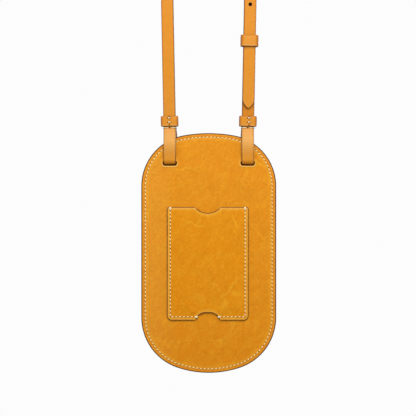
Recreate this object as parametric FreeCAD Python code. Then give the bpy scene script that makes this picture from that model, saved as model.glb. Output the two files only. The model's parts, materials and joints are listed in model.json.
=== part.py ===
import FreeCAD, Part
import math
import os

from FreeCAD import Vector

# Leather phone pouch that hangs from a buckled strap.
# The origin is where the strap hangs: the middle of the underside of its top bend.
# +Z is up, -Y is the front with the card pocket, and +X is to the right of that view.

# Pouch outline: straight sides, and ends made of one large arc between two corner arcs.
# The lip at the top is flatter than the foot at the bottom.
POUCH_WIDTH = 108.0
POUCH_HEIGHT = 191.9
LIP_RADIUS = 115.0
LIP_CORNER = 41.2
FOOT_RADIUS = 79.0
FOOT_CORNER = 42.5

# Leather layers of the pouch
PANEL_THICKNESS = 1.6
LINING_THICKNESS = 0.6

# Room for the phone, moulded into the back panel
PHONE_THICKNESS = 7.8
PHONE_CLEARANCE = 0.3
SEAM_MARGIN = 5.0
MOULD_RUN = 15.0
MOULD_STEPS = 5

# Card pocket on the front, made round the card that it holds
CARD_WIDTH = 54.0
CARD_LENGTH = 85.6
CARD_THICKNESS = 0.8
CARD_CLEARANCE = 1.5
CARD_COVER = 0.7
POCKET_MARGIN = 4.0
POCKET_WALL = 1.0
POCKET_RISE = 42.2
POCKET_SHIFT = -0.8
POCKET_CORNER = 3.0
TOP_NOTCH_RADIUS = 13.4
TOP_NOTCH_DEPTH = 4.6
BOTTOM_NOTCH_RADIUS = 10.0
BOTTOM_NOTCH_DEPTH = 6.7
NOTCH_LIP = 3.0

# Strap: its drop runs from the hanging point to the pouch's top edge, and its inset from the pouch's side
STRAP_WIDTH = 10.0
STRAP_THICKNESS = 2.0
STRAP_INSET = 22.85
STRAP_DROP = 261.5
STRAP_LEAN_DEG = 1.1
TWIST_DEG = 90.0
TWIST_STEPS = 8

# Heights along the strap, counted up from the pouch's top edge
TWIST_RISE = 153.5
TIP_RISE = 19.7
TIP_POINT = 7.6
FIRST_HOLE_RISE = 102.5
HOLE_DIAMETER = 2.9
HOLE_PITCH = 22.0
HOLE_COUNT = 3
USED_HOLE = 1

# Slots in the front for the strap's ends
SLOT_SIDE_CLEARANCE = 0.55
SLOT_CORNER = 1.4
SLOT_DROP = 26.0
SLOT_ROOM = 1.0
SEAT_GAP = 0.3
LIP_CLEARANCE = 0.8

# Sewn keepers, and the loose keeper that slides on the right leg
KEEPER_THICKNESS = 1.6
KEEPER_SIDE_GAP = 0.45
KEEPER_SNUG = 0.05
KEEPER_HEIGHT = 8.2
KEEPER_RISE = 5.4
KEEPER_CORNER = 1.9
KEEPER_STITCH_SHARES = (0.38, 0.77)
HIDDEN_END_SHARE = 0.7
SLIDER_SIDE_GAP = 0.6
SLIDER_GAP = 0.3
SLIDER_HEIGHT = 9.1
SLIDER_RISE = 69.0

# Thread
STITCH_PITCH = 3.0
STITCH_LENGTH_SHARE = 0.78
STITCH_WIDTH = 0.8
STITCH_HEIGHT = 0.45
STITCH_CROWN_SHARE = 0.55
STITCH_CLEARANCE = 0.1
EDGE_STITCH_INSET = 3.1
POCKET_STITCH_INSET = 2.6
NOTCH_STITCH_GAP = 1.2
KEEPER_STITCH_LENGTH = 3.3
BINDING_THICKNESS = 0.8
BINDING_GAP = 0.8
BINDING_CLEARANCE = 0.4

# Buckle
BUCKLE_WIRE = 2.4
BUCKLE_CORNER = 1.8
BUCKLE_SIDE_CLEARANCE = 0.1
BUCKLE_REACH = 13.5
BUCKLE_SEAT = 0.05
PRONG_DIAMETER = 1.4
PRONG_EYE_WALL = 1.0
PRONG_EYE_WIDTH = 2.4
PRONG_OVERHANG = 2.6
PRONG_CLEARANCE = 0.1
PRONG_SEAT = 0.3
PRONG_SLOT_CLEARANCE = 0.4
PRONG_SWING_DEG = 25.0
FOLD_LENGTH = 15.0
FOLD_TAPER = 6.0
FOLD_STITCH_SHARES = (0.2, 0.45)

# How far a cut runs past what it cuts, and how little a parallel edge may turn
OVERRUN = 2.0
PARALLEL_SHARE = 0.001

# Depths: the strap's main layer is centred on y = 0, its turned-back end lies behind it,
# and on the right leg its pointed end lies in front
WALL = PANEL_THICKNESS + LINING_THICKNESS
HALF_LAYER = STRAP_THICKNESS / 2
LOOP_Y = HALF_LAYER
LOOP_CLEARANCE = STITCH_HEIGHT + STITCH_CLEARANCE
LOOP_RADIUS = WALL / 2 + LOOP_CLEARANCE
LOOP_OUTER = LOOP_RADIUS + STRAP_THICKNESS
FRONT_FACE = LOOP_Y - WALL / 2
FRONT_SEAM = FRONT_FACE + PANEL_THICKNESS
PARTING = LOOP_Y + WALL / 2
BACK_RIM = PARTING + WALL
CAVITY_DEPTH = LOOP_CLEARANCE + STRAP_THICKNESS + PHONE_THICKNESS + 2 * PHONE_CLEARANCE
POCKET_FACE = FRONT_FACE - POCKET_WALL - CARD_THICKNESS
TIP_BACK = -HALF_LAYER
TIP_FRONT = TIP_BACK - STRAP_THICKNESS

# Widths
HALF_WIDTH = POUCH_WIDTH / 2
HALF_STRAP = STRAP_WIDTH / 2
LEG_X = HALF_WIDTH - STRAP_INSET
LEAN = math.radians(STRAP_LEAN_DEG)
HALF_CARD_ROOM = CARD_WIDTH / 2 + CARD_CLEARANCE
HALF_POCKET = HALF_CARD_ROOM + POCKET_MARGIN

# Heights
POUCH_TOP = -STRAP_DROP
POUCH_BOTTOM = POUCH_TOP - POUCH_HEIGHT
POCKET_BOTTOM = POUCH_BOTTOM + POCKET_RISE
POCKET_TOP = POCKET_BOTTOM + POCKET_MARGIN + CARD_LENGTH + CARD_COVER
SLOT_BOTTOM = POUCH_TOP - SLOT_DROP
TURN_Z = SLOT_BOTTOM + SLOT_ROOM + LOOP_OUTER
SLOT_TOP = TURN_Z - math.sqrt(LOOP_RADIUS ** 2 - (WALL / 2) ** 2) + SEAT_GAP
KEEPER_BOTTOM = POUCH_TOP + KEEPER_RISE
BINDING_BOTTOM = KEEPER_BOTTOM - BINDING_GAP - BINDING_THICKNESS
BEND_TOP = BINDING_BOTTOM - BINDING_CLEARANCE

FRONT = Vector(0, -1, 0)
BACK = Vector(0, 1, 0)
RIGHT = Vector(1, 0, 0)
UP = Vector(0, 0, 1)
ORIGIN = Vector(0, 0, 0)


def box(x0, x1, y0, y1, z0, z1):
    """Block between two corners."""
    return Part.makeBox(x1 - x0, y1 - y0, z1 - z0, Vector(x0, y0, z0))


def edges_along(shape, way):
    """The straight edges of a shape that run along one way."""
    straight = [edge for edge in shape.Edges if isinstance(edge.Curve, Part.Line)]
    return [edge for edge in straight if edge.Curve.Direction.cross(way).Length < PARALLEL_SHARE]


def rounded(block, radius, way):
    """A block with its edges along one way rounded."""
    return block.makeFillet(radius, edges_along(block, way))


def closed_wire(corners):
    """Straight-sided outline through some corners."""
    return Part.makePolygon(corners + corners[:1])


def arc(start, middle, end):
    """Round edge through three points."""
    return Part.Arc(start, middle, end).toShape()


def rod(radius, length, start, way):
    """Round bar from a point along one way."""
    return Part.makeCylinder(radius, length, start, way)


def half_ring(inner, outer, y, z, up):
    """Half of a ring across the strap's width: the upper half, or the lower one for up = -1."""
    start = Vector(-HALF_STRAP, y, z)
    ring = rod(outer, STRAP_WIDTH, start, RIGHT).cut(rod(inner, STRAP_WIDTH, start, RIGHT))
    z0, z1 = sorted((z, z + up * outer))
    return ring.common(box(-HALF_STRAP, HALF_STRAP, y - outer, y + outer, z0, z1))


def fused(shapes):
    """One solid from several that touch."""
    return shapes[0].multiFuse(shapes[1:]).removeSplitter()


def export(name, shapes):
    """Writes one piece to its file, after a test that its shape is sound."""
    shape = Part.makeCompound(shapes)
    if not shape.isValid():
        raise ValueError(name + " is not a valid shape")
    shape.exportStep("parts/" + name + ".step")
    print(name, len(shape.Solids), "solids", round(shape.Volume, 1), "mm3")


# Outline of the pouch

class End:
    """One end of the outline: a large arc between two corner arcs that meet the sides."""

    def __init__(self, z, up, radius, corner):
        self.z = z
        self.up = up
        self.radius = radius
        self.corner = corner
        self.corner_x = HALF_WIDTH - corner
        self.corner_drop = radius - math.sqrt((radius - corner) ** 2 - self.corner_x ** 2)
        self.turn = math.atan2(radius - self.corner_drop, self.corner_x)


LIP = End(POUCH_TOP, 1, LIP_RADIUS, LIP_CORNER)
FOOT = End(POUCH_BOTTOM, -1, FOOT_RADIUS, FOOT_CORNER)


def corner_points(end, side, inset, y, turn):
    """Start, middle and end of an arc that turns from one side of the outline towards one end."""
    radius = end.corner - inset
    points = []
    for angle in (0, turn / 2, turn):
        x = side * (end.corner_x + radius * math.cos(angle))
        z = end.z - end.up * (end.corner_drop - radius * math.sin(angle))
        points.append(Vector(x, y, z))
    return points


def end_arcs(end, inset, y):
    """Three arcs from left to right round one end, and the two points where they meet the sides."""
    left = corner_points(end, -1, inset, y, end.turn)
    right = corner_points(end, 1, inset, y, end.turn)
    crown = Vector(0, y, end.z - end.up * inset)
    edges = [arc(*left), arc(left[-1], crown, right[-1]), arc(*reversed(right))]
    return edges, left[0], right[0]


def outline(inset, y):
    """Closed outline of the pouch, drawn in by an inset."""
    top, top_left, top_right = end_arcs(LIP, inset, y)
    bottom, bottom_left, bottom_right = end_arcs(FOOT, inset, y)
    right_side = Part.makeLine(top_right, bottom_right)
    left_side = Part.makeLine(bottom_left, top_left)
    return Part.Wire(top + [right_side] + bottom[::-1] + [left_side])


def lip_drop(x):
    """How far the top edge lies under its highest point, at a distance x from the middle."""
    if x <= LIP.radius * math.cos(LIP.turn):
        return LIP.radius - math.sqrt(LIP.radius ** 2 - x ** 2)
    return LIP.corner_drop - math.sqrt(LIP.corner ** 2 - (x - LIP.corner_x) ** 2)


# Frame of a strap leg: the doubled strap bends between the pouch's lip and the binding thread

BEND_BOTTOM = POUCH_TOP - lip_drop(LEG_X - HALF_STRAP) + LIP_CLEARANCE
PIVOT_Z = (BEND_TOP + BEND_BOTTOM) / 2
LEG_BOTTOM = BEND_TOP - PIVOT_Z


def on_leg(shape, side):
    """Carries a shape from a leg's own upright frame to the leaning leg on that side."""
    placed = shape.copy()
    placed.rotate(ORIGIN, BACK, side * STRAP_LEAN_DEG)
    placed.translate(Vector(side * LEG_X, 0, PIVOT_Z))
    return placed


def leg_z(rise):
    """Height in a leg's own frame of a place counted up from the pouch's top edge."""
    return POUCH_TOP + rise - PIVOT_Z


def layer_block(y, z0, z1):
    """Straight stretch of one strap layer, whose back lies at y."""
    return box(-HALF_STRAP, HALF_STRAP, y - STRAP_THICKNESS, y, z0, z1)


# Panels of the pouch

def layer(y0, y1):
    """Flat layer with the pouch's outline, between two depths."""
    return Part.Face(outline(0, y0)).extrude(BACK * (y1 - y0))


def mould_section(share):
    """Outline of the moulded room at a share of its run: steep at first, and open at the mouth."""
    y = PARTING + CAVITY_DEPTH * (1 - (1 - share) ** 2)
    bottom, left, right = end_arcs(FOOT, SEAM_MARGIN + MOULD_RUN * share, y)
    top_left = Vector(left.x, y, POUCH_TOP + OVERRUN)
    top_right = Vector(right.x, y, POUCH_TOP + OVERRUN)
    mouth = Part.makeLine(top_right, top_left)
    return Part.Wire(bottom + [Part.makeLine(right, top_right), mouth, Part.makeLine(top_left, left)])


def phone_room():
    """The space that the back panel is moulded round."""
    sections = [mould_section(step / MOULD_STEPS) for step in range(MOULD_STEPS + 1)]
    return Part.makeLoft(sections, True, False)


def strap_slots():
    """The two slots, as tools that cut through the front."""
    tools = []
    for side in (-1, 1):
        half = HALF_STRAP + SLOT_SIDE_CLEARANCE
        x = side * LEG_X
        tool = box(x - half, x + half, FRONT_FACE - OVERRUN, PARTING + OVERRUN, SLOT_BOTTOM, SLOT_TOP)
        tools.append(rounded(tool, SLOT_CORNER, BACK))
    return tools


def make_panels():
    """Flat front leather and moulded back leather, each with its lining."""
    slots = strap_slots()
    export("front_panel", [layer(FRONT_FACE, FRONT_SEAM).cut(slots)])
    export("front_lining", [layer(FRONT_SEAM, PARTING).cut(slots)])
    room = phone_room()
    whole = layer(PARTING, BACK_RIM + CAVITY_DEPTH + OVERRUN)
    lined = layer(PARTING, PARTING + LINING_THICKNESS).fuse(room.translated(BACK * LINING_THICKNESS))
    covered = layer(PARTING, BACK_RIM).fuse(room.translated(BACK * WALL))
    export("back_lining", [lined.common(whole).cut(room)])
    export("back_panel", [covered.common(whole).cut(lined)])


# Card pocket

def notch(radius, depth, z_edge, up):
    """Round tool that cuts a notch into the pocket's top edge, or its bottom edge for up = -1."""
    start = Vector(0, POCKET_FACE - OVERRUN, z_edge + up * (radius - depth))
    return rod(radius, FRONT_FACE - POCKET_FACE + 2 * OVERRUN, start, BACK)


def make_card_pocket():
    """Patch with round bottom corners, a thumb notch, a push notch and a shallow room for cards."""
    patch = box(-HALF_POCKET, HALF_POCKET, POCKET_FACE, FRONT_FACE, POCKET_BOTTOM, POCKET_TOP)
    lower = [edge for edge in edges_along(patch, BACK) if edge.CenterOfMass.z < POCKET_TOP - CARD_LENGTH]
    patch = patch.makeFillet(POCKET_CORNER, lower)
    patch = patch.cut(notch(TOP_NOTCH_RADIUS, TOP_NOTCH_DEPTH, POCKET_TOP, 1))
    patch = patch.cut(notch(BOTTOM_NOTCH_RADIUS, BOTTOM_NOTCH_DEPTH, POCKET_BOTTOM, -1))
    lips = [edge for edge in edges_along(patch, BACK) if abs(edge.CenterOfMass.x) < TOP_NOTCH_RADIUS]
    patch = patch.makeFillet(NOTCH_LIP, lips)
    card_bottom = POCKET_BOTTOM + POCKET_MARGIN
    room_face = FRONT_FACE - CARD_THICKNESS
    room = box(-HALF_CARD_ROOM, HALF_CARD_ROOM, room_face, FRONT_FACE, card_bottom, POCKET_TOP)
    export("card_pocket", [patch.cut(room).translated(RIGHT * POCKET_SHIFT)])


# Stitches

def stitch(middle, along, outward, length):
    """Short bar of thread on a surface, narrower at its crown."""
    start = middle - along * (length / 2)
    foot = along.cross(outward) * (STITCH_WIDTH / 2)
    crown = foot * STITCH_CROWN_SHARE
    height = outward * STITCH_HEIGHT
    section = closed_wire([start - foot, start + foot, start + crown + height, start - crown + height])
    return Part.Face(section).extrude(along * length)


def stitch_row(line, outward):
    """Stitches at an even pitch from one end of a line to the other."""
    holes = line.discretize(Number=round(line.Length / STITCH_PITCH) + 1)
    row = []
    for start, end in zip(holes, holes[1:]):
        length = start.distanceToPoint(end) * STITCH_LENGTH_SHARE
        row.append(stitch((start + end) / 2, (end - start).normalize(), outward, length))
    return row


def back_seam():
    """Seam line on the back's flat rim, from one end of the mouth round the bottom to the other."""
    flat_edge = HALF_WIDTH - SEAM_MARGIN + STITCH_WIDTH - LIP.corner_x
    mouth_turn = math.acos(flat_edge / (LIP.corner - EDGE_STITCH_INSET))
    right = corner_points(LIP, 1, EDGE_STITCH_INSET, BACK_RIM, mouth_turn)
    left = corner_points(LIP, -1, EDGE_STITCH_INSET, BACK_RIM, mouth_turn)
    bottom, bottom_left, bottom_right = end_arcs(FOOT, EDGE_STITCH_INSET, BACK_RIM)
    right_side = [arc(*reversed(right)), Part.makeLine(right[0], bottom_right)]
    left_side = [Part.makeLine(bottom_left, left[0]), arc(*left)]
    return Part.Wire(right_side + bottom[::-1] + left_side)


def make_edge_stitches():
    """The seam near the outline, all round the front and as far as the mouth on the back."""
    export("front_edge_stitches", stitch_row(outline(EDGE_STITCH_INSET, FRONT_FACE), FRONT))
    export("back_edge_stitches", stitch_row(back_seam(), BACK))


def make_pocket_stitches():
    """Stitches down both sides of the card pocket and along its bottom as far as the push notch."""
    side_x = HALF_POCKET - POCKET_STITCH_INSET
    bottom_z = POCKET_BOTTOM + POCKET_STITCH_INSET
    above_centre = BOTTOM_NOTCH_RADIUS - BOTTOM_NOTCH_DEPTH + POCKET_STITCH_INSET
    notch_x = math.sqrt(BOTTOM_NOTCH_RADIUS ** 2 - above_centre ** 2) + NOTCH_STITCH_GAP
    rows = []
    for side in (-1, 1):
        corner = Vector(side * side_x, POCKET_FACE, bottom_z)
        top = Vector(side * side_x, POCKET_FACE, POCKET_TOP)
        inner = Vector(side * notch_x, POCKET_FACE, bottom_z)
        rows += stitch_row(Part.makeLine(corner, top), FRONT)
        rows += stitch_row(Part.makeLine(corner, inner), FRONT)
    export("pocket_stitches", [row.translated(RIGHT * POCKET_SHIFT) for row in rows])


# Strap ends on the pouch

def make_strap_loop(name, side):
    """Strap end that comes down the front, turns through the slot and goes up inside the mouth."""
    turn = half_ring(LOOP_RADIUS, LOOP_OUTER, LOOP_Y, TURN_Z, -1)
    front = layer_block(LOOP_Y - LOOP_RADIUS, TURN_Z, BEND_BOTTOM)
    back = layer_block(LOOP_Y + LOOP_OUTER, TURN_Z, BEND_BOTTOM)
    export(name, [fused([turn, front, back]).translated(RIGHT * (side * LEG_X))])


def level_section(x, y, z):
    """Level rectangle across one strap layer, centred on a point."""
    near, far = y - HALF_LAYER, y + HALF_LAYER
    left, right = x - HALF_STRAP, x + HALF_STRAP
    corners = [Vector(left, near, z), Vector(right, near, z), Vector(right, far, z), Vector(left, far, z)]
    return closed_wire(corners)


def make_strap_bend(name, side):
    """The two layers between the pouch's lip and the binding, where the leather bends."""
    layers = []
    for away in (-1, 1):
        below = level_section(side * LEG_X, LOOP_Y + away * (LOOP_RADIUS + HALF_LAYER), BEND_BOTTOM)
        above = on_leg(level_section(0, LOOP_Y + away * HALF_LAYER, LEG_BOTTOM), side)
        layers.append(Part.makeLoft([below, above], True, True))
    export(name, layers)


def band(y, z, height, gap_x, gap_y, wall, corner):
    """Closed band round two layers of strap that meet at y, upright in a leg's own frame."""
    inner_x = HALF_STRAP + gap_x
    inner_y = STRAP_THICKNESS + gap_y
    outer_x = inner_x + wall
    outer_y = inner_y + wall
    outside = box(-outer_x, outer_x, y - outer_y, y + outer_y, z, z + height)
    inside = box(-inner_x, inner_x, y - inner_y, y + inner_y, z, z + height)
    return rounded(outside, corner, UP).cut(inside)


def make_sewn_keeper(name, side):
    """Sewn keeper with its two stitches, and the thread that binds the doubled strap under it."""
    z = KEEPER_BOTTOM - PIVOT_Z
    keeper = band(LOOP_Y, z, KEEPER_HEIGHT, KEEPER_SIDE_GAP, KEEPER_SNUG, KEEPER_THICKNESS, KEEPER_CORNER)
    export(name + "_keeper", [on_leg(keeper, side)])
    face = LOOP_Y - STRAP_THICKNESS - KEEPER_SNUG - KEEPER_THICKNESS
    stitches = []
    for share in KEEPER_STITCH_SHARES:
        middle = Vector(0, face, z + KEEPER_HEIGHT * share)
        stitches.append(on_leg(stitch(middle, RIGHT, FRONT, KEEPER_STITCH_LENGTH), side))
    export(name + "_keeper_stitches", stitches)
    low = BINDING_BOTTOM - PIVOT_Z
    wall = BINDING_THICKNESS
    thread = band(LOOP_Y, low, wall, KEEPER_SNUG, KEEPER_SNUG, wall, wall)
    export(name + "_binding", [on_leg(thread, side)])


def turned_end():
    """Turned-back end of the strap, behind the main layer and cut off inside the sewn keeper."""
    top = KEEPER_BOTTOM - PIVOT_Z + KEEPER_HEIGHT * HIDDEN_END_SHARE
    return layer_block(LOOP_Y + STRAP_THICKNESS, LEG_BOTTOM, top)


def make_sliding_keeper():
    """Loose band that holds the pointed end against the buckle strap."""
    z = leg_z(SLIDER_RISE)
    loose = band(TIP_BACK, z, SLIDER_HEIGHT, SLIDER_SIDE_GAP, SLIDER_GAP, KEEPER_THICKNESS, KEEPER_CORNER)
    export("sliding_keeper", [on_leg(loose, 1)])


# Buckle, in the right leg's own frame

WIRE_RADIUS = BUCKLE_WIRE / 2
PRONG_RADIUS = PRONG_DIAMETER / 2
EYE_RADIUS = WIRE_RADIUS + PRONG_CLEARANCE
EYE_OUTER = EYE_RADIUS + PRONG_EYE_WALL
FOLD_INNER = WIRE_RADIUS + BUCKLE_SEAT
FOLD_OUTER = FOLD_INNER + STRAP_THICKNESS
BAR_Y = HALF_LAYER + FOLD_INNER
FAR_BAR_Y = TIP_FRONT - WIRE_RADIUS - BUCKLE_SEAT
FRAME_LEAN = math.asin((BAR_Y - FAR_BAR_Y) / BUCKLE_REACH)
PRONG_LEAN = FRAME_LEAN + math.asin((WIRE_RADIUS + PRONG_RADIUS + PRONG_SEAT) / BUCKLE_REACH)
OPEN_LEAN = PRONG_LEAN + math.radians(PRONG_SWING_DEG)
TIP_MIDDLE = TIP_FRONT + HALF_LAYER
BAR_Z = leg_z(FIRST_HOLE_RISE + HOLE_PITCH * USED_HOLE) - (BAR_Y - TIP_MIDDLE) / math.tan(PRONG_LEAN)
BAR = Vector(0, BAR_Y, BAR_Z)


def make_buckle_strap():
    """Short strap that carries the buckle: it folds over the bar and is sewn to itself behind."""
    tail_back = HALF_LAYER + STRAP_THICKNESS
    taper_z = BAR_Z - FOLD_TAPER
    tail_z = BAR_Z - FOLD_LENGTH
    main = layer_block(HALF_LAYER, LEG_BOTTOM, BAR_Z)
    over = half_ring(FOLD_INNER, FOLD_OUTER, BAR_Y, BAR_Z, 1)
    bar_foot = BAR_Z - WIRE_RADIUS
    outer_side = [(BAR_Y + FOLD_OUTER, BAR_Z), (BAR_Y + FOLD_OUTER, bar_foot), (tail_back, taper_z)]
    inner_side = [(HALF_LAYER, taper_z), (BAR_Y + FOLD_INNER, bar_foot), (BAR_Y + FOLD_INNER, BAR_Z)]
    slope = closed_wire([Vector(-HALF_STRAP, y, z) for y, z in outer_side + inner_side])
    taper = Part.Face(slope).extrude(RIGHT * STRAP_WIDTH)
    tail = layer_block(tail_back, tail_z, taper_z)
    gap_x = PRONG_EYE_WIDTH / 2 + PRONG_SLOT_CLEARANCE
    gap_z = BAR_Z - EYE_OUTER - PRONG_SLOT_CLEARANCE
    reach = FOLD_OUTER + OVERRUN
    gap = box(-gap_x, gap_x, BAR_Y - reach, BAR_Y + reach, gap_z, BAR_Z + reach)
    folded = fused([main, over, taper, tail]).cut(gap)
    export("buckle_strap", [on_leg(folded, 1), on_leg(turned_end(), 1)])
    stitches = []
    for share in FOLD_STITCH_SHARES:
        middle = Vector(0, tail_back, tail_z + FOLD_LENGTH * share)
        stitches.append(on_leg(stitch(middle, RIGHT, BACK, KEEPER_STITCH_LENGTH), 1))
    export("buckle_stitches", stitches)


def make_buckle_frame():
    """Wire bent to a rounded rectangle, with its bar in the fold and its far side before the strap."""
    half = HALF_STRAP + BUCKLE_SIDE_CLEARANCE + BUCKLE_CORNER
    plate = rounded(box(-half, half, 0, BUCKLE_WIRE, 0, BUCKLE_REACH), BUCKLE_CORNER, BACK)
    path = min(plate.Faces, key=lambda face: face.CenterOfMass.y).OuterWire
    first = path.OrderedEdges[0]
    start = first.valueAt(first.FirstParameter)
    section = Part.Wire(Part.makeCircle(WIRE_RADIUS, start, first.tangentAt(first.FirstParameter)))
    frame = path.makePipeShell([section], True, False)
    frame.rotate(ORIGIN, RIGHT, math.degrees(FRAME_LEAN))
    export("buckle_frame", [on_leg(frame.translated(BAR), 1)])


def make_buckle_prong():
    """Tongue with an eye that turns on the bar, resting in front of the frame's far side."""
    eye_start = BAR - RIGHT * (PRONG_EYE_WIDTH / 2)
    eye = rod(EYE_OUTER, PRONG_EYE_WIDTH, eye_start, RIGHT)
    way = Vector(0, -math.sin(PRONG_LEAN), math.cos(PRONG_LEAN))
    shank = rod(PRONG_RADIUS, BUCKLE_REACH + PRONG_OVERHANG, BAR, way)
    bore = rod(EYE_RADIUS, PRONG_EYE_WIDTH, eye_start, RIGHT)
    export("buckle_prong", [on_leg(fused([eye, shank]).cut(bore), 1)])


# Long strap: up the left leg, over the top with its width front to back, and down the right leg

TOP_RADIUS = (math.cos(LEAN) * LEG_X + math.sin(LEAN) * (HALF_LAYER - PIVOT_Z)) / (1 + math.sin(LEAN))
TOP_CENTRE = Vector(0, 0, HALF_LAYER - TOP_RADIUS)
TWIST_BOTTOM = leg_z(TWIST_RISE)
TWIST_TOP = (TOP_CENTRE.z - TOP_RADIUS * math.sin(LEAN) - PIVOT_Z) / math.cos(LEAN)


def turned_section(y, z, degrees):
    """Level rectangle across the strap, turned about the leg's axis."""
    section = level_section(0, 0, z)
    section.rotate(ORIGIN, UP, degrees)
    return section.translated(BACK * y)


def twisted_leg(side, y_start):
    """Quarter twist between the flat leg and the top bend, which starts and ends gently."""
    sections = []
    for step in range(TWIST_STEPS + 1):
        share = step / TWIST_STEPS
        eased = (1 - math.cos(math.pi * share)) / 2
        z = TWIST_BOTTOM + (TWIST_TOP - TWIST_BOTTOM) * share
        sections.append(turned_section(y_start * (1 - eased), z, side * TWIST_DEG * eased))
    return on_leg(Part.makeLoft(sections, True, True), side)


def top_bend():
    """Half round over which the strap hangs."""
    section = Part.Face(on_leg(turned_section(0, TWIST_TOP, TWIST_DEG), 1))
    return section.revolve(TOP_CENTRE, FRONT, math.degrees(math.pi + 2 * LEAN))


def pointed_end():
    """Right end of the strap in its leg's frame: pointed like an arch, in front of the buckle strap."""
    shoulder = leg_z(TIP_RISE + TIP_POINT)
    tip = Vector(0, TIP_FRONT, leg_z(TIP_RISE))
    bow = (TIP_POINT ** 2 + HALF_STRAP ** 2) / STRAP_WIDTH
    half_turn = math.asin(TIP_POINT / bow) / 2
    bow_x = HALF_STRAP - bow + bow * math.cos(half_turn)
    bow_z = shoulder - bow * math.sin(half_turn)
    right = Vector(HALF_STRAP, TIP_FRONT, shoulder)
    left = Vector(-HALF_STRAP, TIP_FRONT, shoulder)
    top_right = Vector(HALF_STRAP, TIP_FRONT, TWIST_BOTTOM)
    top_left = Vector(-HALF_STRAP, TIP_FRONT, TWIST_BOTTOM)
    edges = [arc(left, Vector(-bow_x, TIP_FRONT, bow_z), tip)]
    edges.append(arc(tip, Vector(bow_x, TIP_FRONT, bow_z), right))
    for start, end in ((right, top_right), (top_right, top_left), (top_left, left)):
        edges.append(Part.makeLine(start, end))
    return Part.Face(Part.Wire(edges)).extrude(BACK * STRAP_THICKNESS)


def strap_holes():
    """Tools for the round holes, and for the one that the prong has drawn long."""
    radius = HOLE_DIAMETER / 2
    front = TIP_FRONT - OVERRUN
    depth = STRAP_THICKNESS + 2 * OVERRUN
    tools = []
    for number in range(HOLE_COUNT):
        if number != USED_HOLE:
            z = leg_z(FIRST_HOLE_RISE + HOLE_PITCH * number)
            tools.append(rod(radius, depth, Vector(0, front, z), BACK))
    high = (BAR_Y - TIP_FRONT) / math.tan(PRONG_LEAN) + PRONG_RADIUS / math.sin(PRONG_LEAN)
    low = (BAR_Y - TIP_BACK) / math.tan(OPEN_LEAN) - PRONG_RADIUS / math.sin(OPEN_LEAN)
    z0 = BAR_Z + low - PRONG_SLOT_CLEARANCE
    z1 = BAR_Z + high + PRONG_SLOT_CLEARANCE
    tools.append(box(-radius, radius, front, front + depth, z0, z1))
    return tools


def make_long_strap():
    """One length of leather from the left keeper over the top to the pointed end."""
    left = layer_block(HALF_LAYER, LEG_BOTTOM, TWIST_BOTTOM)
    right = pointed_end().cut(strap_holes())
    left_side = [on_leg(left, -1), twisted_leg(-1, 0)]
    right_side = [twisted_leg(1, TIP_MIDDLE), on_leg(right, 1)]
    whole = fused(left_side + [top_bend()] + right_side)
    export("long_strap", [whole, on_leg(turned_end(), -1)])


os.makedirs("parts", exist_ok=True)
make_panels()
make_card_pocket()
make_edge_stitches()
make_pocket_stitches()
for name, side in (("left", -1), ("right", 1)):
    make_strap_loop(name + "_strap_loop", side)
    make_strap_bend(name + "_strap_bend", side)
    make_sewn_keeper(name, side)
make_sliding_keeper()
make_buckle_strap()
make_buckle_frame()
make_buckle_prong()
make_long_strap()

leg_way = Vector(math.sin(LEAN), 0, math.cos(LEAN))
bar_place = Vector(LEG_X, BAR_Y, PIVOT_Z) + leg_way * BAR_Z
print("bend axis at y", round(LOOP_Y, 3), "z", round(PIVOT_Z, 3))
print("buckle bar at", [round(value, 3) for value in bar_place])
print("leg direction", [round(value, 5) for value in leg_way])
print("phone room from y", round(PARTING, 3), "to", round(PARTING + CAVITY_DEPTH, 3))
print("back face at y", round(BACK_RIM + CAVITY_DEPTH, 3))
print("top bend radius", round(TOP_RADIUS, 3), "and leg twist", round(TWIST_TOP - TWIST_BOTTOM, 2), "mm long")
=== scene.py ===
import json
import math
import bmesh
import bpy
import numpy as np
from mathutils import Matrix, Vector
from mathutils.geometry import delaunay_2d_cdt


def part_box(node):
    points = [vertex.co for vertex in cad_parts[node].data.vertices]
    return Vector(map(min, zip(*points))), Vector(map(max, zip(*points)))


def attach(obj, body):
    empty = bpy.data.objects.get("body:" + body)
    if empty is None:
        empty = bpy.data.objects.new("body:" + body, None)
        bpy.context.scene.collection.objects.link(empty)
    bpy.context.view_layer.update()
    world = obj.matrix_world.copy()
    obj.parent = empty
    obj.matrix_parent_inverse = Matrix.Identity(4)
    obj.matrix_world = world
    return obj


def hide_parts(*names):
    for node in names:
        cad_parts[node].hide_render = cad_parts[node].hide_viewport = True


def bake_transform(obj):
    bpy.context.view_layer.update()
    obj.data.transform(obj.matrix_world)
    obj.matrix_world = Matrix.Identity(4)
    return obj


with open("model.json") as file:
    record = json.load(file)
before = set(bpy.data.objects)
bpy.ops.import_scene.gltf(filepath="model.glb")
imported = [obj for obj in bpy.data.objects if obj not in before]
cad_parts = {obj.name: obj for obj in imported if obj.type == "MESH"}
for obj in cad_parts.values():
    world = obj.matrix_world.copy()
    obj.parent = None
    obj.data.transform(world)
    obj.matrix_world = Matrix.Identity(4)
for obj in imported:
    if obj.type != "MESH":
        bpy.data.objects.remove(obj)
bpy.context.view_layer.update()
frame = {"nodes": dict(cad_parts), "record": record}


# Point of view
# The pouch hangs from its strap before a white ground and is seen straight from the front, from a little
# under a metre: near enough that the loose keeper, high on the strap, shows its underside.
view_distance, view_width = 0.85, 0.3328
view_x, view_z = -0.0006, -0.32144
front_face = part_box("front_panel")[0].y


def in_scene(name, data):
    """New object that shows some data, at the origin of the scene."""
    made = bpy.data.objects.new(name, data)
    bpy.context.scene.collection.objects.link(made)
    return made


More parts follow.
